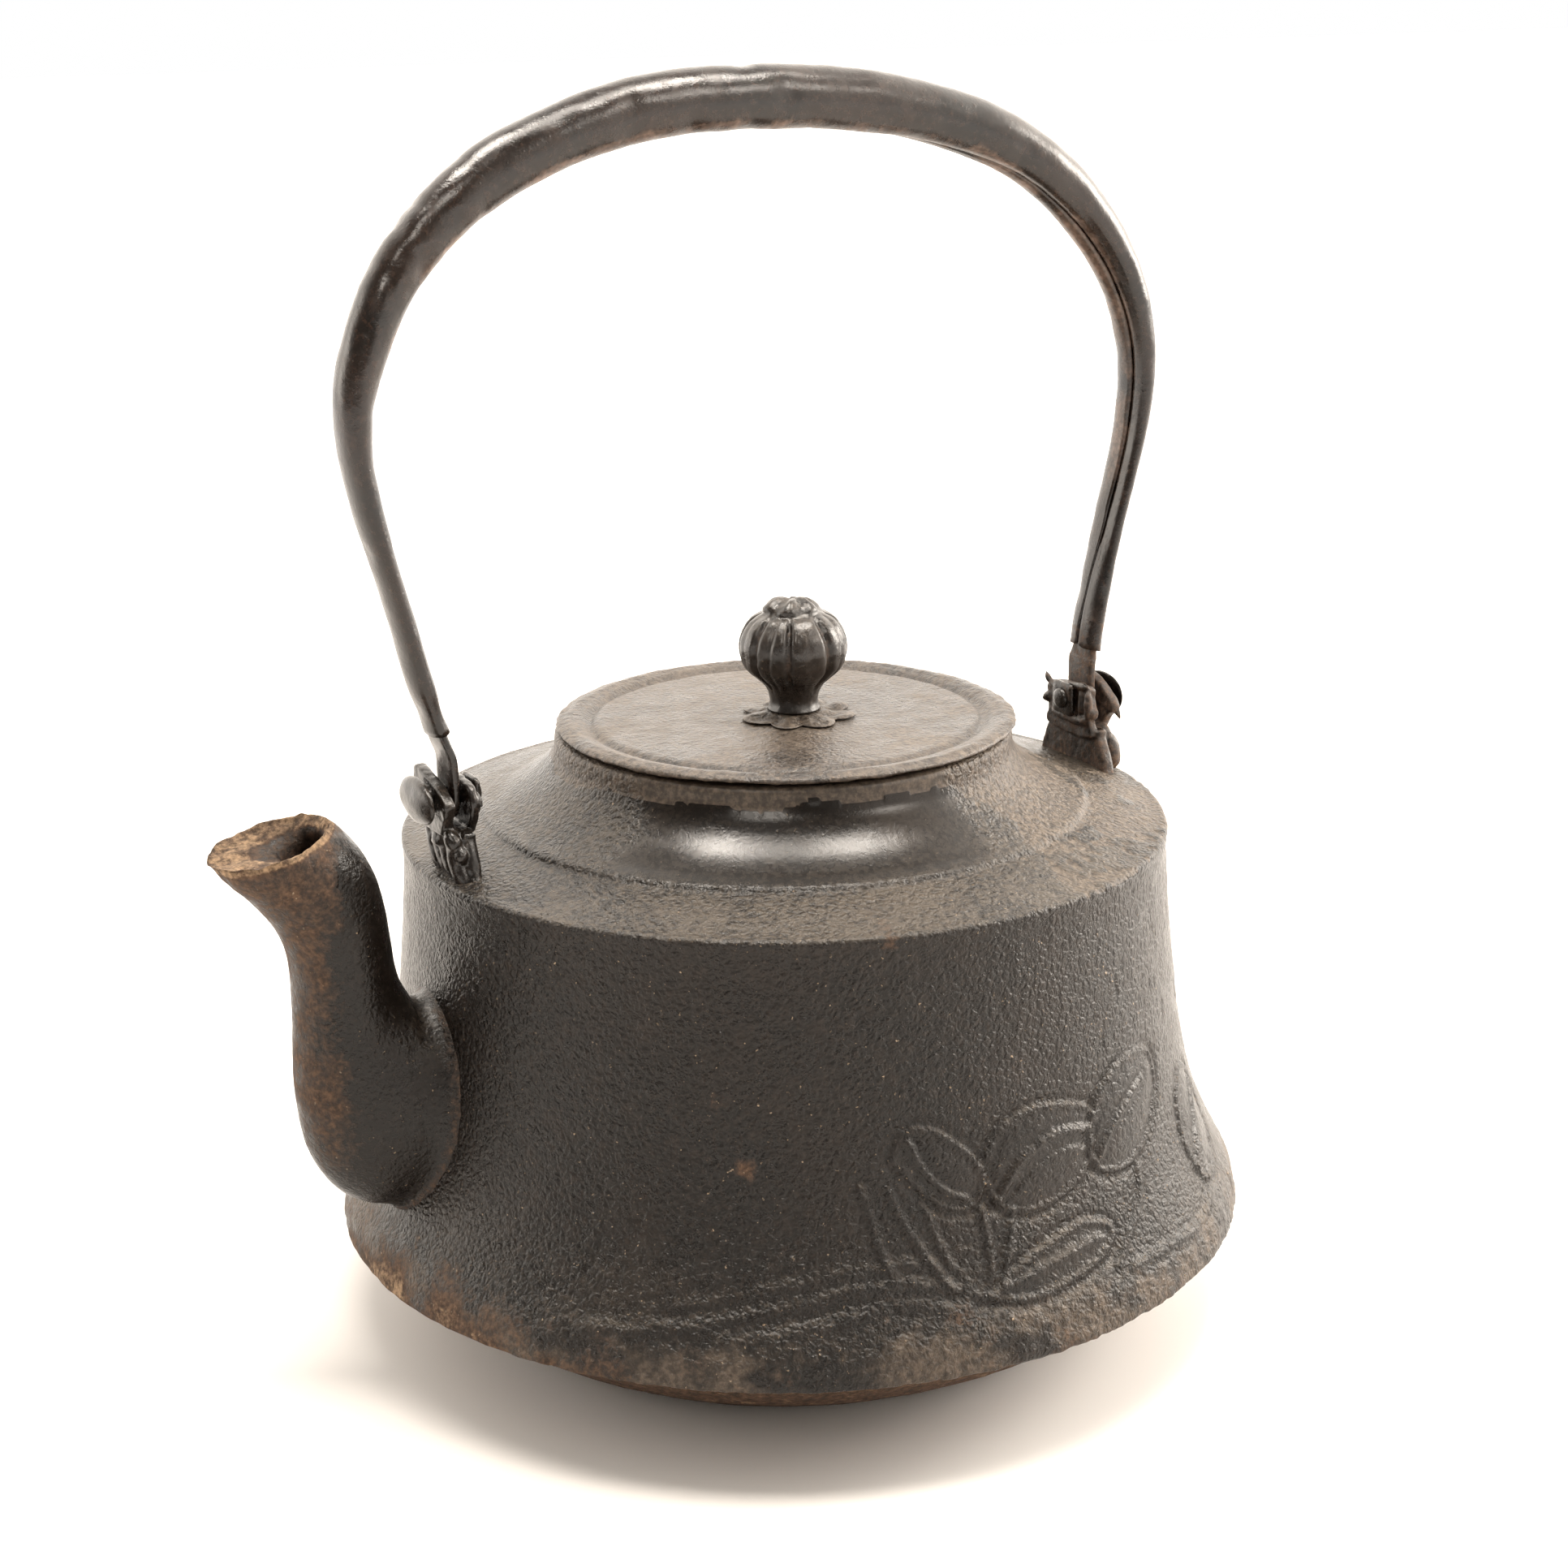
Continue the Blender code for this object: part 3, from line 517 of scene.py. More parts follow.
def iron(name, dark, brown, bare, grain, gloss, pebble, specks, dust, shine):
    """Cast or wrought iron: a dark skin over bare metal, with rust where the mesh says.

    dark and brown vary over the skin, and bare shows through where the mesh's "bare" value is
    high. Rust lies where its "rust" value is high, and turns tan where it is highest. grain is
    the bump's depth in millimetres, gloss the skin's roughness, pebble the depth of its leathery
    creases, specks how much of the pale dots shows, dust how much has settled on faces that look
    up, and shine the specular level. Where the "calm" value is high the skin is smooth and shiny.
    """
    material = bpy.data.materials.new(name)
    n = Nodes(material)
    broad = n.noise(24, 5)
    middle = n.noise(5, 5, 0.6)
    fine = n.noise(1.1, 5, 0.65)
    dots = n.noise(0.75, 2)
    calm = n.tint("calm")
    lively = n.scale(calm, 1, 0.22)
    colour = n.mix(n.step(broad, 0.35, 0.68), dark, brown)
    colour = n.mix(n.scale(n.step(middle, 0.5, 0.75), 0, 0.55), colour, shade(brown, 2))
    mottle = n.scale(n.step(fine, 0.45, 0.75), 0, 0.6)
    colour = n.mix(n.times(mottle, lively), colour, shade(brown, 2.8))

    # Where bare iron shows through; on the bail's inner face this is partly a painted reflection of the
    # floor.
    wear_and_painted_reflection = n.step(n.plus(n.tint("bare"), n.scale(middle, -0.25, 0.25)), 0.35, 0.65)
    bare_colour = n.mix(n.step(fine, 0.35, 0.7), shade(bare, 0.5), shade(bare, 1.5))
    colour = n.mix(wear_and_painted_reflection, colour, bare_colour)

    settled = n.step(n.plus(fine, n.scale(broad, -0.3, 0.3)), 0.36, 0.66)
    settled = n.times(n.tint("dust"), settled, dust, lively)
    colour = n.mix(settled, colour, SETTLED_DUST)

    spread = n.plus(n.tint("rust"), n.scale(middle, -0.45, 0.45))
    spread = n.plus(spread, n.scale(fine, -0.35, 0.35))
    rusty = n.step(spread, 0.3, 0.85)
    rust_colour = n.mix(n.step(fine, 0.3, 0.7), shade(RUST, 0.4), shade(RUST, 1.5))
    tan_colour = n.mix(n.step(fine, 0.3, 0.7), shade(TAN, 0.5), TAN)
    rust_colour = n.mix(n.step(spread, 0.8, 1.2), rust_colour, tan_colour)
    colour = n.mix(n.scale(rusty, 0, 0.92), colour, rust_colour)

    speck = n.times(n.step(dots, 0.68, 0.78), n.step(middle, 0.4, 0.62), specks, lively)
    colour = n.mix(speck, colour, SPECK)

    roughness = n.scale(n.step(middle, 0.3, 0.7), gloss - 0.04, gloss + 0.08)
    roughness = n.blend(calm, roughness, gloss - 0.05)
    roughness = n.blend(wear_and_painted_reflection, roughness, min(gloss + 0.16, 0.85))
    roughness = n.blend(settled, roughness, 0.8)
    roughness = n.blend(rusty, roughness, 0.85)
    height = n.plus(fine, n.scale(n.step(dots, 0.55, 0.8), 0, 0.35))
    height = n.times(height, n.blend(rusty, 1, 2), lively)
    normal = n.bump(height, grain)
    if pebble:
        creases = n.step(n.cells(1.5, 1.1), 0, 0.34)
        small = n.step(n.cells(0.7, 0.5), 0, 0.4)
        creases = n.plus(creases, n.scale(small, 0, 0.45))
        creases = n.times(creases, n.step(rusty, 0.9, 0.1), n.step(calm, 0.8, 0.2))
        normal = n.bump(creases, pebble, Normal=normal)
    n.finish(Base_Color=colour, Roughness=roughness, Specular_IOR_Level=shine, Normal=normal)
    return material


# ---- Pieces ----


def relief(angle, height):
    """How far the wall's cast relief stands out, in millimetres, and how smooth its leaves are."""
    across_mm = math.radians(1) * 73
    x = angle * across_mm

    def flat(line):
        return np.array([(a * across_mm, z) for a, z in line])

    total = np.zeros(angle.shape)
    smoothed = np.zeros(angle.shape)
    for outline, rise in LEAVES:
        line = smooth(flat(outline + outline[:1]), 5)
        away = distance_to_line(x, height, line)
        inside = inside_outline(x, height, line[:-1])
        bulge = rise * (1 - np.exp(-((away / 3) ** 1.3))) * 0.8
        total = np.where(inside, bulge, total * ramp(away, 0, 1))
        total += 0.31 * hump(away, 0.5) - np.where(inside, 0.06, 0.34) * hump(away - 1.1, 0.7)
        smoothed = np.maximum(smoothed, np.where(inside, 0.48 * ramp(away, 0, 1.2), 0))
    for lines in (VEINS, STEMS, WATER_LINES):
        for points, width, rise in lines:
            away = distance_to_line(x, height, smooth(flat(points), 5))
            total += 0.62 * rise * (hump(away, width) - 0.45 * hump(away - 1.9 * width, width))
    return total, smoothed


def wall_radius(height):
    """The body's outer radius at a height below the shoulder."""
    radii, heights = zip(*reversed(WALL_SIDE))
    return np.interp(height, heights, radii)


def bare_share(angle, height, points):
    """1 where the lacquer has flaked off the neck and the far shoulder."""
    edge_angles, edge_heights = zip(*BARE_EDGE)
    edge = np.interp(angle, edge_angles, edge_heights)
    around = points * (1, 1, 0)
    edge = edge + 0.6 * noise(around, 4, 5) + 0.35 * noise(around, 1.3, 6)
    neck = ramp(height - edge, -0.12, 0.12)
    patch = rough(points, 9, 9) + 0.4 * noise(points, 2, 3)
    shoulder = (angle > -72) & (angle < -8) & (height > 91.5)
    return np.maximum(neck, np.where(shoulder, ramp(patch, -0.12, 0.05), 0))


def body_rust(angle, height, points):
    """How rusty each point of the body is, from 0 to 1."""
    low = ramp(-height, -34, -20) * (0.75 + 0.5 * ramp(noise(points, 8, 17), -0.3, 0.3))
    left = hump(angle + 172, 30) + hump(angle - 188, 30)
    right = hump(angle + 84, 34)
    share = low * (0.12 + 0.5 * left + 0.16 * right) + 0.2 * left * ramp(-height, -60, -30)
    for spot_angle, spot_height, radius, depth in (
        (-123.5, 54.1, 2.2, 0.8), (-127.7, 64.8, 2.6, 0.35), (-97.3, 28.8, 3.2, 0.45),
        (-106, 31.4, 5, 0.35), (-104, 91.6, 2.4, 0.6), (176, 58, 2, 0.6),
    ):
        off = np.hypot((angle - spot_angle) * 1.27, height - spot_height)
        share += depth * hump(off, radius)
    return np.clip(share + 0.25 * noise(points, 6, 8) * low, 0, 1)


def build_body():
    """The cast shell with its relief, its flaked neck and its scaly skirt."""
    wall = smooth(WALL_SIDE)
    plain = wall[wall[:, 1] > CARVED_BELOW]
    carved = wall[wall[:, 1] <= CARVED_BELOW + 0.5]
    outer = np.vstack([
        resample(RIM_SIDE, 0.7), resample(smooth(NECK_SIDE), 0.75), resample(STEP_SIDE, 0.4),
        resample(smooth(SHOULDER_SIDE), 1), resample(SHOULDER_EDGE, 0.4), resample(plain, 1),
        resample(carved, 0.42), resample(SKIRT_EDGE, 0.5),
    ])
    outline = np.vstack([outer, resample(smooth(INNER_SIDE), 5)])
    degrees = np.concatenate([np.arange(low, high - 0.01, step) for low, high, step in COLUMN_ARCS])
    points = turned_points(outline, np.radians(degrees))
    angle = np.broadcast_to((degrees + 180) % 360 - 180, points.shape[:2])
    height = points[..., 2]
    on_outside = (np.arange(len(outline)) < len(outer) - 2)[:, None]
    bare = np.where(on_outside, bare_share(angle, height, points), 0.6)
    rust = np.where(on_outside, body_rust(angle, height, points), 0.5)

    low = ramp(-height, -36, -22)
    scuffed = low * (0.55 + 0.35 * noise(points, 7, 15) + 0.15 * noise(points, 2, 16))
    bare = np.where(on_outside, np.maximum(bare, scuffed), bare)
    leather = ramp(-height, -97, -95)
    push = 0.1 * rough(points, 9, 1)
    push += leather * 0.1 * rough(points * (1, 1, 1.5), 2, 2)
    push += low * (0.2 * rough(points, 3.4, 4) + 0.16 * noise(points, 1.3, 7))
    push -= 0.2 * ramp(noise(points, 1.5, 12), 0.62, 0.95) * leather
    push -= LACQUER * bare
    push += 0.3 * hump(height - 92, 0.7) * ramp(from_axis(points), 68, 69.8)
    on_wall = (height < 88) & (height > 21)
    cast, leaf = relief(angle, height)
    push += np.where(on_wall, cast * ramp(height, 21.5, 26), 0)
    push = np.where(on_outside, push, 0.12 * rough(points, 5, 14))
    points = points + outward(outline, np.radians(degrees)) * push[..., None]
    points[..., :2] *= np.minimum(1, SKIRT_LIMIT / from_axis(points))[..., None]
    points[..., 2] = np.minimum(points[..., 2], RIM_TOP)
    off_front = np.abs(angle + 112 + 6 * noise(points, 9, 18))
    glossy = ramp(height, 95.8, 97.4) * ramp(-off_front, -44, -30)
    calm = np.maximum(glossy, np.where(on_wall & on_outside, leaf, 0))
    return grid_object("cast_body", points, True, bare=bare, rust=rust, calm=calm)


def spout_sections(rows):
    """Centre, half height direction and half sizes of the spout's sections, closely spaced."""
    table = np.array([(*outer, *inner, width) for outer, inner, width in SPOUT_STATIONS])
    table = resample(smooth(table), count=rows)
    outer = np.column_stack([-table[:, 0], 0 * table[:, 0], table[:, 1]])
    inner = np.column_stack([-table[:, 2], 0 * table[:, 0], table[:, 3]])
    return (outer + inner) / 2, (inner - outer) / 2, table[:, 4]


def spout_grid(centres, halves, widths, turns):
    """Oval rings round the given centres."""
    side = np.array([0, 1, 0])
    lengthwise = halves[:, None, :] * np.cos(turns)[None, :, None]
    sideways = side * (widths[:, None] * np.sin(turns)[None, :])[..., None]
    return centres[:, None, :] + lengthwise + sideways


def trim_to_wall(lines, depth, rows):
    """Start each line of a grid on the body's wall, the given depth inside its outer face."""
    trimmed = np.empty((rows, lines.shape[1], 3))
    for column in range(lines.shape[1]):
        line = resample(lines[:, column], 0.25)
        outside = np.hypot(line[:, 0], line[:, 1]) > wall_radius(line[:, 2]) - depth
        start = int(np.argmax(outside))
        trimmed[:, column] = resample(line[start:], count=rows)
    return trimmed


def build_spout():
    """The curved spout with its rusty flared mouth and its cast joint with the body."""
    turns = circle(SPOUT_SIDES)
    centres, halves, widths = spout_sections(SPOUT_ROWS)
    outside = trim_to_wall(spout_grid(centres, halves, widths, turns), 1.4, SPOUT_ROWS)
    radial = outside - outside.mean(axis=1, keepdims=True)
    radial = radial / np.linalg.norm(radial, axis=2, keepdims=True)
    off_wall = from_axis(outside) - wall_radius(outside[..., 2])
    mouthward = np.linspace(0, 1, SPOUT_ROWS)[:, None] + 0 * off_wall
    push = 2.2 * np.exp(-np.maximum(off_wall + 0.4, 0) / 1.3)
    push += 0.14 * rough(outside, 6, 21) + 0.07 * rough(outside, 1.8, 22)
    near_mouth = ramp(mouthward, 0.86, 1)
    push += near_mouth * (0.28 * noise(outside, 2.6, 23) + 0.12 * noise(outside, 1, 27) - 0.25)
    seam = hump(outside[..., 2] - 36.5 - 0.05 * outside[..., 0], 0.5) * (outside[..., 1] < 0)
    push -= 0.25 * seam * ramp(-mouthward, -0.5, -0.2)
    outside = outside + radial * push[..., None]
    outside[-1, :, 2] += 0.7 * noise(outside[-1], 2.2, 24) - 0.4

    bore_rows = SPOUT_ROWS // 2
    mouth_share = np.linspace(BORE_SHARE, 0.4, MOUTH_ROWS)
    share = np.concatenate([np.full(bore_rows - MOUTH_ROWS, BORE_SHARE), mouth_share])
    centres, halves, widths = spout_sections(bore_rows)
    bore_width = np.minimum(widths * share, BORE_HALF[0])
    length = np.linalg.norm(halves, axis=1)
    bore_half = halves * (np.minimum(length * share, BORE_HALF[1]) / length)[:, None]
    bore_centre = centres + halves * np.linspace(0, 0.3, bore_rows)[:, None]
    bore = trim_to_wall(spout_grid(bore_centre, bore_half, bore_width, turns), 1.4, bore_rows)
    bore = bore + (0.2 * noise(bore, 2, 25))[..., None] * (1, 1, 0)

    rim, throat = outside[-1], bore[-3]
    axis = np.cross(halves[-1], (0, -1, 0))
    down = -axis / np.linalg.norm(axis)
    down = down * (-1 if down[2] > 0 else 1)
    funnel = []
    for step, depth in (
        (0.05, 0.25), (0.14, 0.75), (0.28, 1.1), (0.45, 1.5), (0.62, 2.1), (0.78, 2.8), (0.9, 3.6),
    ):
        ring = rim + (throat - down * 3 - rim) * step + down * depth
        flakes = 0.55 * rough(ring * (1, 1, 0.6), 3.2, 26) + 0.25 * noise(ring, 1.1, 28)
        ring[:, 2] += flakes
        funnel.append(ring)
    rings = np.concatenate([outside, np.array(funnel), bore[::-1][3:]])
    streak = ramp(np.cos(turns - math.pi - 0.25), 0.35, 0.8)[None, :] * ramp(mouthward, 0.12, 0.4)
    lacquered = ramp(np.cos(turns), -0.2, 0.6)[None, :]
    rust = np.full(rings.shape[:2], 0.6)
    skin = 0.14 + 0.5 * streak + 0.12 * noise(outside, 7, 29)
    collar = 0.58 * ramp(mouthward - 0.16 * lacquered, 0.66, 0.8)
    joint = 0.5 * hump(np.maximum(off_wall, 0), 1.6)
    rust[:SPOUT_ROWS] = np.maximum(np.maximum(skin, collar), joint)
    rust[SPOUT_ROWS - 3 : SPOUT_ROWS + 5] = 1
    return grid_object("curved_spout", rings, True, bare=0, rust=np.clip(rust, 0, 1))


def spout_bore_cutter():
    """The hole in the body's wall that the spout opens from."""
    turns = circle(28)
    centres, halves, _ = spout_sections(40)
    length = np.linalg.norm(halves[0])
    half = halves[:1] * BORE_HALF[1] / length
    start = spout_grid(centres[:1], half, np.array(BORE_HALF[:1]), turns)[0]
    bore = [start + (shift, 0, 0) for shift in (6, -10.5)]
    return grid_object("bore_cutter", np.array(bore), caps=True)


def build_lid():
    """The turned lid, with an uneven raised edge and a rough disc inside a groove."""
    raised = resample(smooth(LID_SIDE[2:12], 4), 0.45)
    outline = np.vstack([resample(LID_SIDE[:2], 1.2), raised, resample(LID_SIDE[12:], 1.6)])
    angles = circle(420)
    points = turned_points(outline, angles, LID_CENTRE)
    radius = np.hypot(points[..., 0] - LID_CENTRE[0], points[..., 1] - LID_CENTRE[1])
    height = points[..., 2]
    upper = ramp(height, 110, 110.4)
    edge = ramp(radius, 39.5, 41.8)
    push = 0.1 * rough(points, 5, 31) + 0.09 * noise(points * (0.6, 1.5, 1), 1.6, 32)
    push += 0.05 * np.sin(radius * 2.9 + 2 * noise(points, 12, 35)) * ramp(radius, 26, 34)
    push += edge * (0.16 * noise(points, 2.4, 33) + 0.1 * noise(points, 0.9, 34) - 0.1)
    push -= 0.3 * hump(radius - 35.9, 0.8)
    points = points + outward(outline, angles, closed=False) * (push * upper)[..., None]
    points[..., 2] = np.minimum(points[..., 2], LID_TOP)
    bare = ramp(rough(points, 7, 36), -0.5, 0.5) * 0.6 + 0.3 * edge
    rust = 0.16 * ramp(radius, 36, 42) + np.where(height < 110.3, 0.4, 0)
    return grid_object("turned_lid", points, True, bare=bare, rust=rust)


def build_knob():
    """The bud knob: narrow grooves between its ribs, a knot of buds on top, and its tenon."""
    bud = resample(smooth(KNOB_SIDE[2:], 6), 0.3)
    outline = np.vstack([resample(KNOB_TAIL, 0.6), [(1.5, 106.1)], resample(KNOB_SIDE[:2], 1.5), bud])
    angles = circle(240)
    points = turned_points(outline, angles)
    height = points[..., 2]
    radius = from_axis(points)
    sway = angles + 0.12 * np.sin(2 * angles + 0.6) + 0.012 * (height - 122) * np.sin(3 * angles)
    turn = (KNOB_LOBES * sway / (2 * math.pi)) % 1
    gap = np.minimum(turn, 1 - turn)
    groove = hump(gap, 0.1)
    fold = hump(gap - 0.5, 0.07) * (0.5 + 0.5 * np.sin(5 * angles + 1))
    band = ramp(height, 115.5, 119.5) * ramp(-height, -131, -129)
    push = band * (0.15 - 0.95 * groove - 0.3 * fold - 0.5 * gap**2)
    crown = ramp(height, 130.6, 131.4)
    knot = np.sin(2.5 * angles + 0.4) * np.sin(3.5 * angles + 1.9 + 0.3 * radius)
    push += crown * (0.7 * knot * ramp(radius, 0.3, 2.2) - 0.25)
    push += 0.12 * rough(points, 3, 41) + 0.06 * noise(points, 1, 42)
    push = np.where((height > 113) & (radius > 0.4), push, 0)
    points = points - outward(outline, angles, closed=False) * push[..., None]
    points[..., 2] = np.minimum(points[..., 2], KNOB_TOP)
    points[..., :2] += KNOB_CENTRE
    rust = 0.45 * groove * band + 0.25 * crown
    return grid_object("bud_knob", points, bare=0.1 + 0.3 * band * gap, rust=rust)


def build_rosette():
    """The low washer of uneven, beaten petals under the knob."""
    outline = [
        (1.9, 111.3), (7, 111.28), (9.8, 111.28), (10.4, 111.4), (10.1, 111.7), (8.8, 111.95),
        (7, 112), (5.6, 112.3), (1.9, 112.35),
    ]
    outline = resample(outline, 0.3)
    angles = circle(200)
    points = turned_points(outline, angles)
    radius = from_axis(points)
    petal = np.abs(np.cos(4 * angles + 0.5 * np.sin(angles) + 0.3 * np.sin(3 * angles)))
    lengths = 0.8 + 0.24 * petal + 0.06 * np.sin(angles + 2.2)
    reach = 1 + (lengths - 1) * ramp(radius, 4, 8.5)
    points[..., :2] = points[..., :2] * reach[..., None] + KNOB_CENTRE
    top = ramp(points[..., 2], 111.5, 111.9)
    beaten = ramp(radius, 4.6, 6.5)
    dip = 0.45 * (1 - petal) * beaten + 0.45 * noise(points, 2.2, 51) * beaten
    points[..., 2] -= top * np.clip(dip, -0.45, 0.5)
    rust = 0.15 + 0.3 * (1 - petal) + 0 * radius
    return grid_object("petal_washer", points, True, bare=0.6, rust=rust)


def bail_sections():
    """Centre, outward direction and half sizes along the bail."""
    path = resample(smooth(BAIL_PATH), BAIL_SPACING)
    along = directions(path)
    thickness = np.interp(path[:, 1], BAIL_HEIGHTS, BAIL_HALF_THICKNESS)
    width = np.interp(path[:, 1], BAIL_HEIGHTS, BAIL_HALF_WIDTH)
    centre = np.column_stack([path[:, 0], 0 * path[:, 0], path[:, 1]])
    out = np.column_stack([-along[:, 1], 0 * path[:, 0], along[:, 0]])
    return centre, out, thickness, width


def build_bail():
    """The bail: sheet iron rolled round and hammered, its edges almost meeting inside the arch."""
    centre, out, thickness, width = bail_sections()
    x, z = centre[:, 0], centre[:, 2]
    slit = 2.2 + 1 * ramp(x, 20, 60) * ramp(z, 120, 150) + 4 * ramp(-z, -126, -116)
    slit = np.radians(slit)[:, None]
    twist = (np.radians(26) * ramp(x, 25, 62) * ramp(z, 118, 150))[:, None]
    shells = []
    for inset in (0, BAIL_SHEET):
        share = np.linspace(0, 1, BAIL_SIDES)[None, :]
        turn = math.pi + slit + (2 * math.pi - 2 * slit) * share + twist
        curl = 0.75 * hump(np.minimum(share, 1 - share), 0.035) * np.cos(twist) ** 2
        half_t = (thickness[:, None] - inset) - curl * ramp(thickness[:, None], 2, 4)
        across = out[:, None, :] * (half_t * np.cos(turn))[..., None]
        wide = (0, 1, 0) * ((width[:, None] - inset) * np.sin(turn))[..., None]
        shells.append(across + wide)
    ring = np.concatenate([shells[0], shells[1][:, ::-1]], axis=1)
    points = centre[:, None, :] + ring
    radial = ring / np.maximum(np.linalg.norm(ring, axis=2, keepdims=True), 1e-6)
    dents = 0.2 * noise(points, 9, 61) + 0.09 * noise(points, 3.5, 62) + 0.035 * noise(points, 1.2, 63)
    dents -= 0.22 * ramp(noise(points, 6, 64), 0.25, 0.8)
    crinkled = hump(x + 66, 16) * hump(z - 197, 14)
    crinkles = ramp(noise(points * (1, 0.5, 1), 2.8, 65), 0, 0.7)
    dents -= 0.35 * crinkled[:, None] * crinkles
    crease = ramp(x, 50, 66) * ramp(z, 125, 145) * ramp(-z, -206, -196)
    side = np.cos(np.arctan2(ring[..., 1], (ring * out[:, None, :]).sum(-1)) - 0.9)
    dents -= 0.55 * crease[:, None] * ramp(-side, 0.9, 0.995)
    knee = np.exp(-(((x + 69) / 3) ** 2) - ((z - 121.5) / 2.6) ** 2)
    dents -= 0.4 * knee[:, None]
    points = points + radial * (dents - 0.12)[..., None]
    ends = np.array([0, len(x) - 1])
    torn = 0.5 * noise(points[ends] * (1, 1, 0), 2.4, 66)
    points[ends, :, 2] += torn
    points[..., 2] = np.minimum(points[..., 2], CAD_BOX[1][2] / MM - 0.02)
    inward = -(radial * out[:, None, :]).sum(axis=-1)
    wear_and_painted_reflection = 0.04 + 0.16 * ramp(dents, 0.05, 0.3) + 0.1 * noise(points, 5, 67)
    # Paler bare iron on the arch's inner face: partly wear, partly a painted reflection of the pale floor
    # along the handle's lower edge.
    wear_and_painted_reflection += 0.42 * ramp(inward, 0.3, 0.7) * ramp(z, 125, 150)[:, None]
    rust = 0.5 * ramp(-z, -130, -116)[:, None] * ramp(x, 0, 1)[:, None] + 0 * dents
    rust = rust + 0.35 * ramp(-radial[..., 2], 0.4, 0.9) * ramp(z[:, None], 195, 215)
    return grid_object("rolled_bail", points, caps=True, bare=wear_and_painted_reflection, rust=np.clip(rust, 0, 1))


def rounded_box(half_wide, half_thick, count=28, power=4):
    """A ring of (wide, thick) points round a rectangle with soft corners."""
    turn = circle(count)
    wide = np.sign(np.cos(turn)) * np.abs(np.cos(turn)) ** (2 / power) * half_wide
    thick = np.sign(np.sin(turn)) * np.abs(np.sin(turn)) ** (2 / power) * half_thick
    return wide, thick


def build_tongue(name, side):
    """A flat forged end of the bail, round at the pin, that goes up into the tube."""
    entry = np.array(BAIL_PATH[0] if side < 0 else BAIL_PATH[-1]) * np.array([side, 1])
    second = np.array(BAIL_PATH[1] if side < 0 else BAIL_PATH[-2]) * np.array([side, 1])
    upward = (second - entry) / np.linalg.norm(second - entry)
    stations = []
    for lean in np.radians(np.linspace(-88, 0, 9)):
        drop, reach = TONGUE_HALF_WIDTH * math.sin(lean), TONGUE_HALF_WIDTH * math.cos(lean)
        stations.append((TONGUE_CENTRE, PIVOT_HEIGHT + drop, 0.85, reach))
    stations += [(TONGUE_CENTRE, z, 0.88, TONGUE_HALF_WIDTH) for z in (107.6, 109.2, 110.8, 112.4)]
    bend_x = TONGUE_CENTRE + 0.15 * (entry[0] - TONGUE_CENTRE)
    stations.append((bend_x, TONGUE_BEND - 0.9, 0.95, TONGUE_HALF_WIDTH))
    for along, thick, wide in (
        (-2.2, 1, 3.8), (-1, 1, 3.5), (0.6, 0.95, 3.1), (3, 0.8, 2.6), (5, 0.6, 2.1),
    ):
        stations.append((*(entry + along * upward), thick, wide))
    grid = []
    for centre_x, centre_z, thick, wide in stations:
        across, through = rounded_box(wide, thick)
        grid.append(np.column_stack([side * (centre_x + through), across, centre_z + 0 * across]))
    points = np.array(grid)
    points[..., 0] += 0.1 * noise(points, 2.5, 71)
    tongue = grid_object(name, points, caps=True)
    tongue.modifiers.new("round", "SUBSURF").levels = 1
    tongue.modifiers["round"].render_levels = 1
    settle(tongue)
    turns = circle(32)
    ring_y, ring_z = 1.8 * np.cos(turns), PIVOT_HEIGHT + 1.8 * np.sin(turns)
    hole = [np.column_stack([side * x + 0 * turns, ring_y, ring_z]) for x in (60, 72)]
    cut(tongue, grid_object("pin_hole", np.array(hole), caps=True))
    store(tongue.data, rust=0.3 if side < 0 else 0.62, bare=0)
    return tongue


def plate(side, outline, inner, outer, bend=0, soft=0.5):
    """A forged plate seen along X: a closed outline of (y, z) whose edges are rounded by soft mm.

    bend leans its top outwards, in millimetres per millimetre of height.
    """
    line = resample(smooth(outline + outline[:1], 4), 0.5)[:-1]
    facing = outline_normals(line)
    ahead = np.roll(line, -1, axis=0)
    turning = np.sign(np.sum(line[:, 0] * ahead[:, 1] - line[:, 1] * ahead[:, 0]))
    middle = line.mean(axis=0)
    rings = []
    for share, inset in ((0, 1), (0.1, 0.35), (0.3, 0), (0.7, 0), (0.9, 0.35), (1, 1)):
        edge = line + facing * (turning * soft * inset)
        x = inner + (outer - inner) * share + bend * (edge[:, 1] - middle[1])
        rings.append(np.column_stack([side * x, edge[:, 0], edge[:, 1]]))
    return grid_object("plate", np.array(rings), caps=True)


def bar(points, radii, flat=1):
    """A round or flattened bar along a smooth path, with soft ends."""
    table = np.column_stack([np.array(points, dtype=float), np.array(radii, dtype=float)])
    table = resample(smooth(table, 6), 0.5)
    centre, radius = table[:, :3], table[:, 3]
    ends = np.minimum(np.arange(len(table)), np.arange(len(table))[::-1])
    radius = radius * np.sqrt(np.clip((ends + 0.35) / 2.5, 0, 1))
    along = directions(centre)
    side = np.cross(along, (1, 0, 0))
    side = side / np.maximum(np.linalg.norm(side, axis=1, keepdims=True), 1e-6)
    third = np.cross(side, along)
    turn = circle(16)[None, :, None]
    ring = side[:, None] * np.cos(turn) + third[:, None] * (flat * np.sin(turn))
    return grid_object("bar", centre[:, None] + ring * radius[:, None, None], caps=True)


def bars(side, *rows):
    """Bars on one side of the body; each row is what bar takes, drawn for the +X side."""
    return [bar([(side * x, y, z) for x, y, z in points], *shape) for points, *shape in rows]


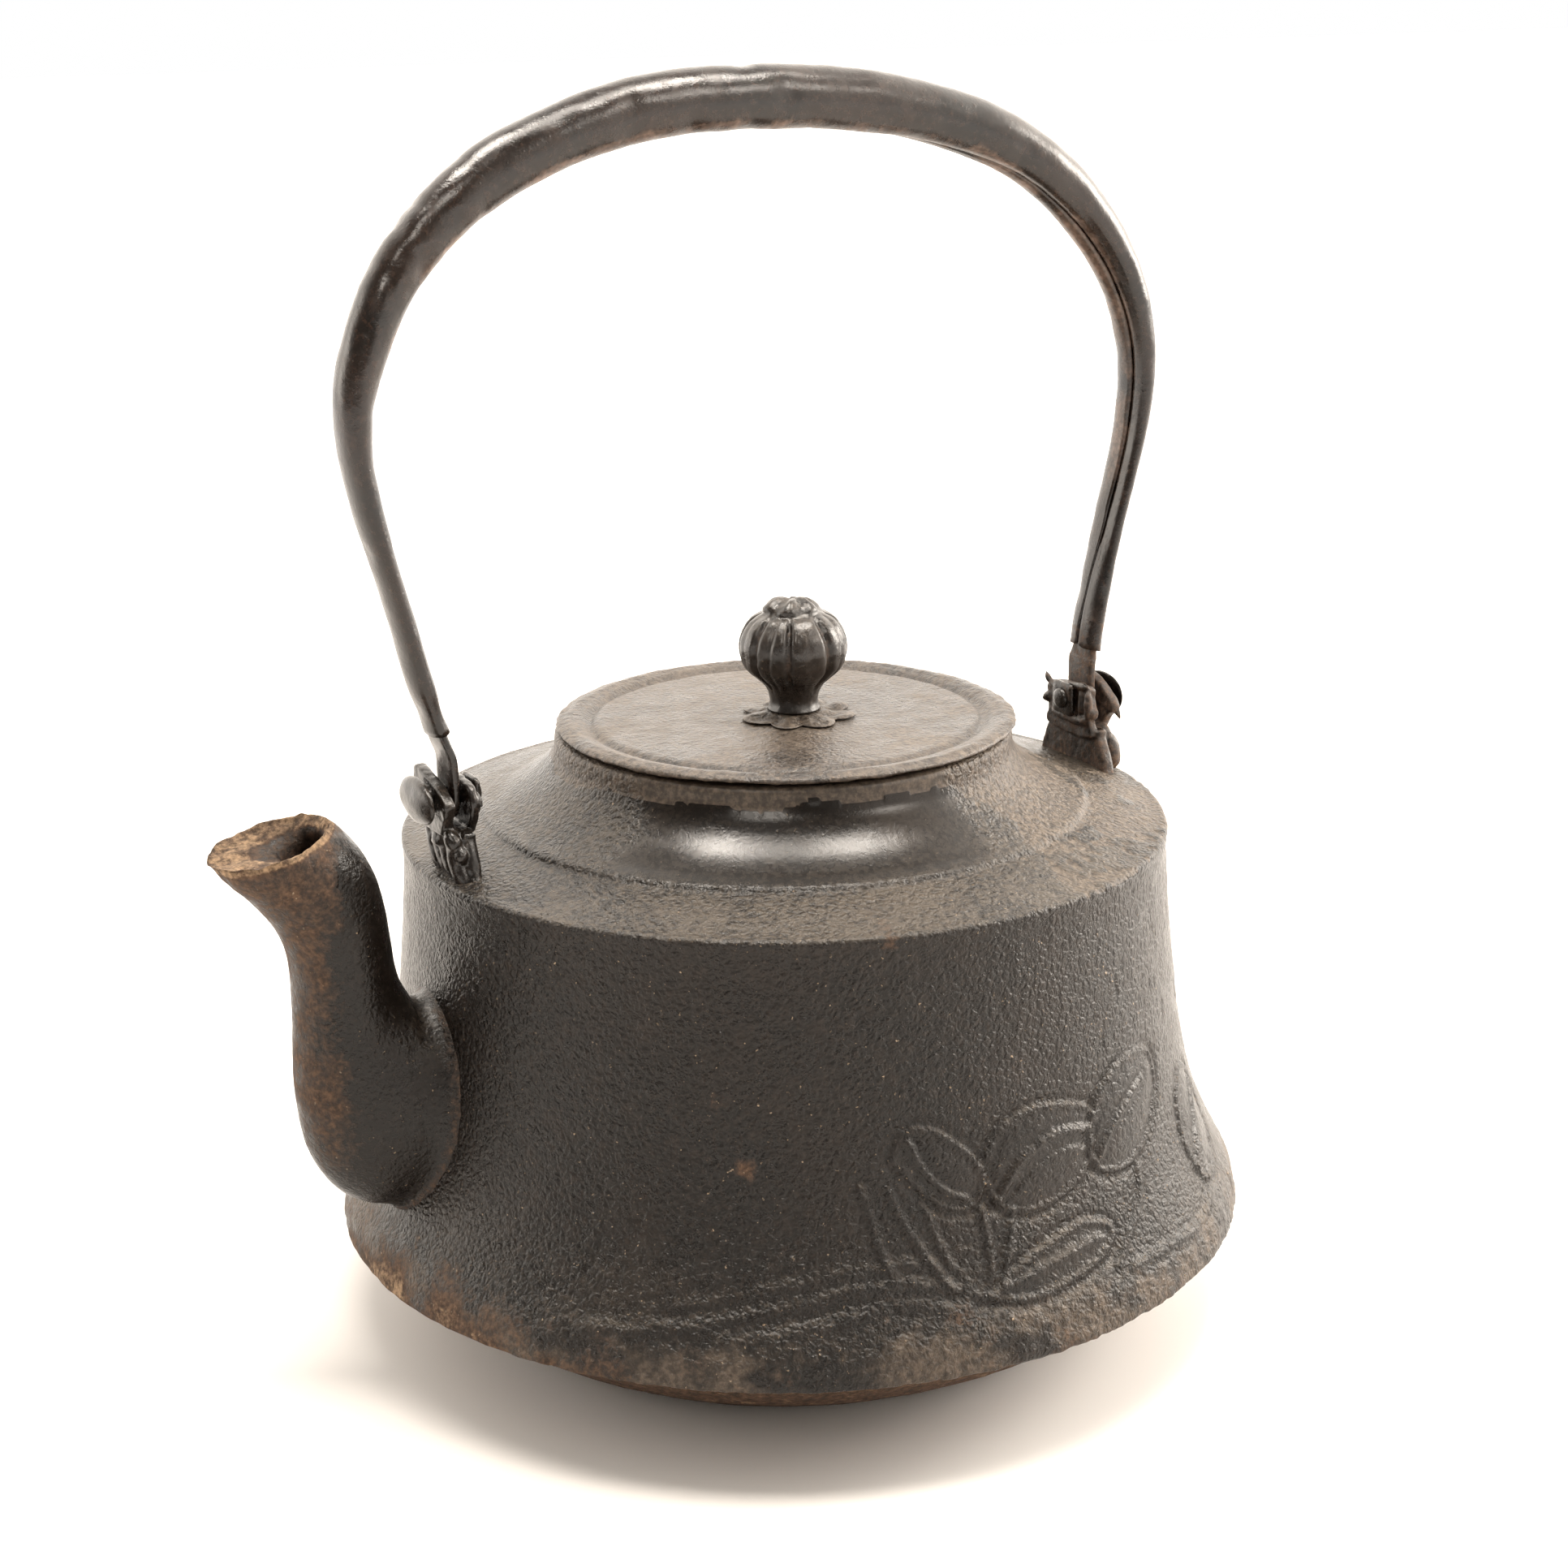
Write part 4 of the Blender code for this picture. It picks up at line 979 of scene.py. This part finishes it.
def clear_slot(points, side):
    """Move points out of the slot between a lug's ears, where the bail's end swings."""
    across = side * points[:, 0]
    depth = np.stack([across - CLEVIS_SLOT[0], CLEVIS_SLOT[1] - across, points[:, 2] - SLOT_FLOOR])
    nearest = np.where(depth.min(axis=0) > 0, depth.argmin(axis=0), -1)
    points[nearest == 0, 0] = side * CLEVIS_SLOT[0]
    points[nearest == 1, 0] = side * CLEVIS_SLOT[1]
    points[nearest == 2, 2] = SLOT_FLOOR
    return points


def fused(name, parts, side, rust, seed):
    """The parts melted into one forged surface with a fine hammered skin."""
    bpy.ops.object.select_all(action="DESELECT")
    for part in parts:
        part.select_set(True)
    bpy.context.view_layer.objects.active = parts[0]
    bpy.ops.object.join()
    obj = parts[0]
    obj.name = name
    remesh = obj.modifiers.new("melt", "REMESH")
    remesh.mode = "VOXEL"
    remesh.voxel_size = FORGED_VOXEL * MM
    remesh.use_smooth_shade = True
    relax = obj.modifiers.new("relax", "SMOOTH")
    relax.factor = 0.5
    relax.iterations = 2
    settle(obj)
    mesh = obj.data
    points = read(mesh.vertices, "co").astype(float) / MM
    push = 0.12 * noise(points, 2.6, 81 + seed) + 0.08 * noise(points, 1, 82 + seed)
    points = clear_slot(points + read(mesh.vertex_normals, "vector") * push[:, None], side)
    mesh.vertices.foreach_set("co", (points * MM).astype(np.float32).ravel())
    low = ramp(-points[:, 2], -95, -92) * (0.7 + 0.5 * noise(points, 2, 84))
    store(mesh, rust=np.clip(0.45 * low + rust, 0, 1), bare=0.25 + 0.3 * noise(points, 4, 83))
    mesh.shade_smooth()
    return obj


def lug_stem(side, share, ridges):
    """The lug's concave stem with leaf-like folds on its outer face."""
    half = [(share * y, z) for y, z in ((11.6, 90.4), (11.2, 93.6), (10, 96.8), (8.4, 99.6), (7.2, 101))]
    stem = plate(side, half + [(-y, z) for y, z in reversed(half)], 63.7, 66.3, soft=0.8)
    rows = [([(65.7, 0.4, 91), (65.9, 0.2, 95.5), (66, 0, 99.6)], [2.4, 2.5, 2.4], 0.6)]
    for low, high, radius in ridges:
        path = [(66.2, low, 90.8), (67.3, (low + high) / 2, 95.5), (67.3, high, 101.6)]
        rows.append((path, [radius, 1.1 * radius, 0.8 * radius], 0.8))
    return [stem] + bars(side, *rows)


def slot_floor(side, low, high):
    """The iron that joins a lug's ears below the slot, given half its width at its foot and top."""
    return plate(side, [(-low, 95.6), (-high, 101.1), (high, 101.1), (low, 95.6)], 65.9, 67.9, soft=0.3)


def build_rear_lug():
    """The far lug: a plain stem below a square frilled collar and a leaning ear."""
    side = 1
    inner_ear = [
        (-7, 102.6), (-8, 103.4), (-8.2, 104.6), (-7.5, 105.4), (-7, 107.4), (-6.8, 109),
        (-2, 109.1), (2.8, 108.7), (6, 108), (7.6, 106.6), (7, 105), (6.8, 102.6), (7.2, 99.4),
        (0, 98.8), (-7.6, 99.4),
    ]
    outer_ear = [
        (-4.8, 100.4), (-6.4, 103), (-8.4, 104.4), (-8.2, 105.8), (-6, 107.6), (-2.6, 109.4),
        (1.6, 110.6), (5.4, 110.4), (7, 108.6), (6.6, 105.4), (4.8, 102.6), (3.6, 100.4),
    ]
    frill = [(62.6, y, z) for y, z in ((-6.9, 109.3), (-3.4, 109), (0.4, 108.3), (4, 107.7), (6.6, 107.8))]
    parts = lug_stem(side, 1, ((-7.6, -4.6, 1.2), (6, 3.2, 1.1)))
    parts.append(plate(side, inner_ear, 62.6, 64.4, soft=0.25))
    parts += bars(
        side,
        (frill, [0.6, 0.8, 0.75, 0.8, 0.5]),
        ([(62.6, 5.8, 107.6), (62.3, 6.6, 108.7), (62.4, 7.4, 109.8)], [0.8, 0.6, 0.3]),
        ([(62.8, -7.4, 102.6), (62.4, -2, 102.3), (62.8, 5.2, 102.5)], [0.9, 1, 0.8]),
        ([(62.6, -7, 102.8), (62.4, -7.2, 105.6), (62.6, -6.9, 108.6)], [0.7, 0.8, 0.6]),
        ([(62.6, -4.6, 103), (62.4, -4.9, 105.6), (62.6, -4.3, 108.4)], [0.55, 0.65, 0.5]),
        ([(62.8, 6.2, 104), (62.5, 7, 104.6), (62.7, 7.8, 105.2)], [1, 1.1, 0.7]),
    )
    parts.append(plate(side, outer_ear, 67.2, 69.2, bend=0.04, soft=0.3))
    parts.append(slot_floor(side, 7, 6.4))
    parts += bars(
        side,
        ([(68, -7.6, 105.2), (68.6, -8, 104.2), (69, -8.6, 102.6)], [0.8, 0.6, 0.3]),
        ([(66.4, 0, 98.4), (68.2, 0, 100.2)], [2.6, 2.4]),
        ([(66.8, -5.6, 99.8), (68.3, -6.6, 96.6), (68.2, -7.6, 92.6)], [1.3, 1.8, 1.3]),
        ([(67.8, -4.4, 98.6), (68.7, -5.6, 96.6), (68.3, -6, 94.8)], [0.7, 0.9, 0.6]),
    )
    return fused("rear_clevis_lug", parts, side, rust=0.58, seed=3)


def build_front_lug():
    """The near lug: folded leaves up the stem, a thick slanting ear and a curl behind it."""
    side = -1
    inner_ear = [
        (-4.6, 100.2), (-6.2, 103), (-6.8, 106), (-5.2, 108.5), (-1.2, 109.1), (3.4, 108.9),
        (6.2, 107), (6.4, 103.6), (4.4, 100.4),
    ]
    outer_ear = [
        (-4.4, 100.2), (-6, 103), (-7, 104.6), (-7.5, 106.4), (-4.6, 108.1), (0, 109.5),
        (4.6, 110.6), (6.8, 110.4), (7.6, 108), (6.8, 104.6), (5, 101.6), (4.2, 100.2),
    ]
    ridges = ((1, 6.2, 1.3), (-2.4, 3.6, 1.2), (-5.2, 0.2, 1.4), (-8.2, -4.6, 1.7))
    parts = lug_stem(side, 0.86, ridges)
    parts.append(plate(side, inner_ear, 62.7, 64.3, soft=0.4))
    parts += bars(side, ([(63.2, -4.2, 107.6), (62.6, -5.8, 106.4), (62.3, -6.8, 105)], [0.8, 0.6, 0.35]))
    parts.append(plate(side, outer_ear, 67.3, 69.4, bend=0.02, soft=0.25))
    parts.append(slot_floor(side, 5.9, 5.4))
    parts += bars(
        side,
        ([(68.3, -6.5, 106), (68.9, -6.9, 106.2), (69.5, -6.8, 105.8)], [0.8, 0.9, 0.8]),
        ([(66.4, 0, 98.4), (68.2, 0, 100.2)], [2.6, 2.4]),
        ([(68.4, -5.2, 101.4), (67.9, -6.2, 99.6), (66.8, -6.9, 98)], [1, 1.4, 1.2]),
        ([(66.4, -6.4, 98.4), (66.9, -7.6, 97.2), (66.5, -8, 95.8)], [1, 1.3, 0.9]),
    )
    return fused("front_clevis_lug", parts, side, rust=0.12, seed=6)


def build_burr(name, side):
    """The square plate that the pin's tail is beaten over, inside the inner ear."""
    turn = circle(48)
    wide, tall = rounded_box(3.3, 3.2, 48, 6)
    grid = []
    for x, share in ((62.15, 0.9), (61.9, 1), (61.35, 1), (61.1, 0.92), (61.05, 0.6)):
        ring = np.column_stack([side * x + 0 * turn, share * wide, PIVOT_HEIGHT + share * tall])
        grid.append(ring + 0.12 * noise(ring, 2, 97)[:, None])
    return grid_object(name, np.array(grid), caps=True, bare=0.2, rust=0.35)


def build_pin(name, side, head_start, head_depth, half_width):
    """A pivot pin: shank, peened tail and an oval domed head hammered a little flat."""
    stations = [
        (60.1, 0.8, 0.8), (60.2, 1.4, 1.4), (60.5, 1.9, 1.9), (60.9, 2, 2), (60.95, 1.5, 1.5),
        (64, 1.5, 1.5), (69.45, 1.5, 1.5), (69.5, 2.7, 2.7), (head_start - 0.05, 2.7, 2.7),
    ]
    stations += [(head_start, 0.8 * half_width, 3.2), (head_start + 0.15, 0.96 * half_width, 3.9)]
    for rise in np.linspace(0, 1, 9):
        spread = max(math.sqrt(max(1 - rise**2.2, 0)), 0.03)
        depth = head_start + 0.45 + (head_depth - 0.5) * rise
        stations.append((depth, half_width * spread, 4.05 * spread))
    turn = circle(40)
    x, wide, tall = np.array(stations).T[:, :, None]
    points = np.stack([side * x + 0 * turn, wide * np.cos(turn), PIVOT_HEIGHT + tall * np.sin(turn)], -1)
    on_head = ramp(np.abs(points[..., 0]), head_start, head_start + 0.3)
    points[..., 0] -= side * on_head * np.clip(0.22 * noise(points, 3.2, 91) + 0.15, 0, 1)
    pin = grid_object(name, points, caps=True, bare=0, rust=0)
    sharpen(pin, 50)
    return pin


def build_pan():
    """The bowl-shaped base inside the skirt."""
    side = [(78.4, 24.2), (79.2, 21.6), (75.2, 15), (67.5, 7.6), (59.6, 2.8), (55.2, 0.6), (53.8, 0)]
    inside = [(0, 3), (53, 3), (57.6, 5.3), (65.4, 9.8), (72.7, 16.8), (75.4, 21.6), (75.4, 24.2)]
    outline = np.vstack([resample(side, 1.6), [(0, 0)], resample(inside, 4)])
    angles = circle(220)
    points = turned_points(outline, angles)
    push = 0.18 * rough(points, 4, 95) * ramp(points[..., 2], 0.3, 2) * ramp(from_axis(points), 52, 56)
    points = points + outward(outline, angles) * push[..., None]
    points[..., 2] = np.maximum(points[..., 2], 0)
    return grid_object("base_pan", points, True, bare=0.5, rust=0.75)


# ---- Stage ----


def build_camera():
    """The camera, where the photograph's view of the kettle was solved to be."""
    spin = Matrix.Rotation(-CAMERA_TURN, 3, "Z")
    forward = spin @ Vector((0, math.cos(CAMERA_PITCH), -math.sin(CAMERA_PITCH)))
    right = spin @ Vector((1, 0, 0))
    up = right.cross(forward)
    rolled_right = math.cos(CAMERA_ROLL) * right + math.sin(CAMERA_ROLL) * up
    rolled_up = -math.sin(CAMERA_ROLL) * right + math.cos(CAMERA_ROLL) * up
    data = bpy.data.cameras.new("camera")
    data.sensor_width = 36
    data.lens = CAMERA_LENS
    data.clip_start = 0.01
    camera = new_object("camera", data)
    camera.matrix_world = Matrix((rolled_right, rolled_up, -forward)).transposed().to_4x4()
    camera.matrix_world.translation = spin @ Vector(CAMERA_PLACE)
    bpy.context.scene.camera = camera


def world_light(world):
    """A studio that is white behind the kettle, bright on its right and dark round the camera."""
    n = Nodes(world, "Background", "Generated")

    def glow(axis, low, high, dark, bright):
        dot = n.add("VectorMath", {0: n.place, 1: axis}, operation="DOT_PRODUCT").outputs["Value"]
        return n.span(dot, low, high, dark, bright, "SMOOTHSTEP")

    level = n.plus(glow(PHOTO_BACK, -0.35, 0.5, 0.24, 3.2), glow(PHOTO_RIGHT, 0.25, 0.95, 0, 2.2))
    level = n.times(level, glow((0, 0, 1), 0.7, 0.93, 1, 0.25))
    seen = n.add("LightPath").outputs["Is Camera Ray"]
    n.finish(Strength=n.blend(seen, level, 1), Color=n.mix(seen, WARM_LIGHT, WHITE))


def build_floor():
    """Plain pale paper that runs out to pure white a little way off."""
    mesh = bpy.data.meshes.new("floor")
    reach, drop = FLOOR_REACH, FLOOR_DROP
    corners = [(-reach, -reach, drop), (reach, -reach, drop), (reach, reach, drop), (-reach, reach, drop)]
    mesh.from_pydata(corners, [], [(0, 1, 2, 3)])
    floor = new_object("floor", mesh)
    paper = bpy.data.materials.new("paper")
    n = Nodes(paper)
    away = n.add("VectorMath", {0: n.place}, operation="LENGTH").outputs["Value"]
    glow = n.span(away, 0.32, 0.9, 0, 0.9)
    n.finish(Emission_Strength=glow, Emission_Color=WHITE, Base_Color=PAPER, Roughness=0.85)
    mesh.materials.append(paper)


def area_light(name, place, size, radiance, diffuse):
    """A soft box; one without diffuse light shows only as a highlight."""
    data = bpy.data.lights.new(name, "AREA")
    data.shape = "RECTANGLE"
    data.size, data.size_y = size
    data.color = WARM_LIGHT
    data.energy = radiance * math.pi * size[0] * size[1]
    light = new_object(name, data)
    light.location = place
    light.rotation_euler = (Vector(AIM) - place).to_track_quat("-Z", "Y").to_euler()
    light.visible_diffuse = diffuse


def build_stage():
    """A pale floor, and soft studio light from above, behind and in front."""
    bpy.context.scene.view_settings.view_transform = "Standard"
    world = bpy.data.worlds.new("studio")
    bpy.context.scene.world = world
    world_light(world)
    build_floor()
    right, back = Vector(PHOTO_RIGHT), Vector(PHOTO_BACK)
    for name, sideways, backward, height, size, radiance, diffuse in (
        ("overhead", 0, -0.05, 0.95, (0.6, 0.3), 14, True),
        ("overhead_left", -0.24, -0.02, 0.88, (0.26, 0.2), 42, False),
        ("overhead_right", 0.25, -0.02, 0.88, (0.24, 0.2), 34, False),
        ("front", -0.15, -0.8, 0.85, (0.28, 0.26), 16, False),
        ("front_right", 0.85, -0.55, 0.85, (0.34, 0.26), 16, False),
        ("right_side", 0.85, 0.3, 0.4, (0.4, 0.4), 18, True),
        ("left_side", -0.85, 0.05, 0.3, (0.36, 0.36), 4.5, True),
    ):
        spot = right * sideways + back * backward + Vector((0, 0, height))
        area_light(name, spot, size, radiance, diffuse)


# ---- Assembly ----


def build_materials():
    """The finishes, by slot name: iron's arguments after the name."""
    looks = {
        "body_iron": (DEEP, shade(WARM, 0.66), (0.072, 0.054, 0.04), 0.2, 0.27, 0.14, 1.3, 0.25, 0.27),
        "pan_iron": (WARM, shade(WARM, 2), (0.06, 0.038, 0.024), 0.2, 0.7, 0, 0.3, 0, 0.3),
        "spout_iron": (DEEP, shade(WARM, 0.45), (0.085, 0.058, 0.04), 0.16, 0.23, 0.05, 1, 0.12, 0.27),
        "lid_iron": (WARM, shade(WARM, 2.2), (0.08, 0.06, 0.045), 0.24, 0.27, 0.07, 0.8, 0.24, 0.4),
        "knob_iron": (DEEP, WARM, (0.055, 0.042, 0.03), 0.09, 0.26, 0, 0.3, 0.15, 0.5),
        # The bail's pale bare colour also paints the floor's reflection on the inner face of its arch.
        "bail_iron": (DEEP, (0.016, 0.009, 0.006), (0.14, 0.09, 0.065), 0.06, 0.22, 0, 0.1, 0, 0.45),
        "lug_iron": (DEEP, WARM, (0.05, 0.034, 0.024), 0.08, 0.22, 0, 0.2, 0.05, 0.42),
    }
    return {name: iron(name, *look) for name, look in looks.items()}


def main():
    build_camera()
    finish = build_materials()
    body = build_body()
    cut(body, spout_bore_cutter())
    sharpen(body, 60)
    pieces = (
        (body, "kettle", "body_iron", "kettle_body"),
        (build_pan(), "kettle", "pan_iron", "bottom_pan"),
        (build_spout(), "kettle", "spout_iron", "spout"),
        (build_front_lug(), "kettle", "lug_iron", "front_lug"),
        (build_rear_lug(), "kettle", "lug_iron", "rear_lug"),
        (build_pin("front_domed_pin", -1, 71, 2.4, 7.4), "kettle", "lug_iron", "front_pivot_pin"),
        (build_pin("rear_domed_pin", 1, 70.5, 1.45, 6.7), "kettle", "lug_iron", "rear_pivot_pin"),
        (build_bail(), "bail", "bail_iron", "bail_tube"),
        (build_tongue("front_tongue", -1), "bail", "bail_iron", "front_bail_tongue"),
        (build_tongue("rear_tongue", 1), "bail", "bail_iron", "rear_bail_tongue"),
        (build_lid(), "lid", "lid_iron", "lid"),
        (build_knob(), "lid", "knob_iron", "lid_knob"),
        (build_rosette(), "lid", "lid_iron", "knob_washer"),
        (build_burr("front_square_burr", -1), "kettle", "lug_iron", "front_pin_burr"),
        (build_burr("rear_square_burr", 1), "kettle", "lug_iron", "rear_pin_burr"),
    )
    for obj, rides_on, slot, node in pieces:
        place(obj, rides_on, slot, finish[slot], node)
    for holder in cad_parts["knob_burr_washer"].material_slots:
        holder.material = finish["knob_iron"]
    build_stage()


main()
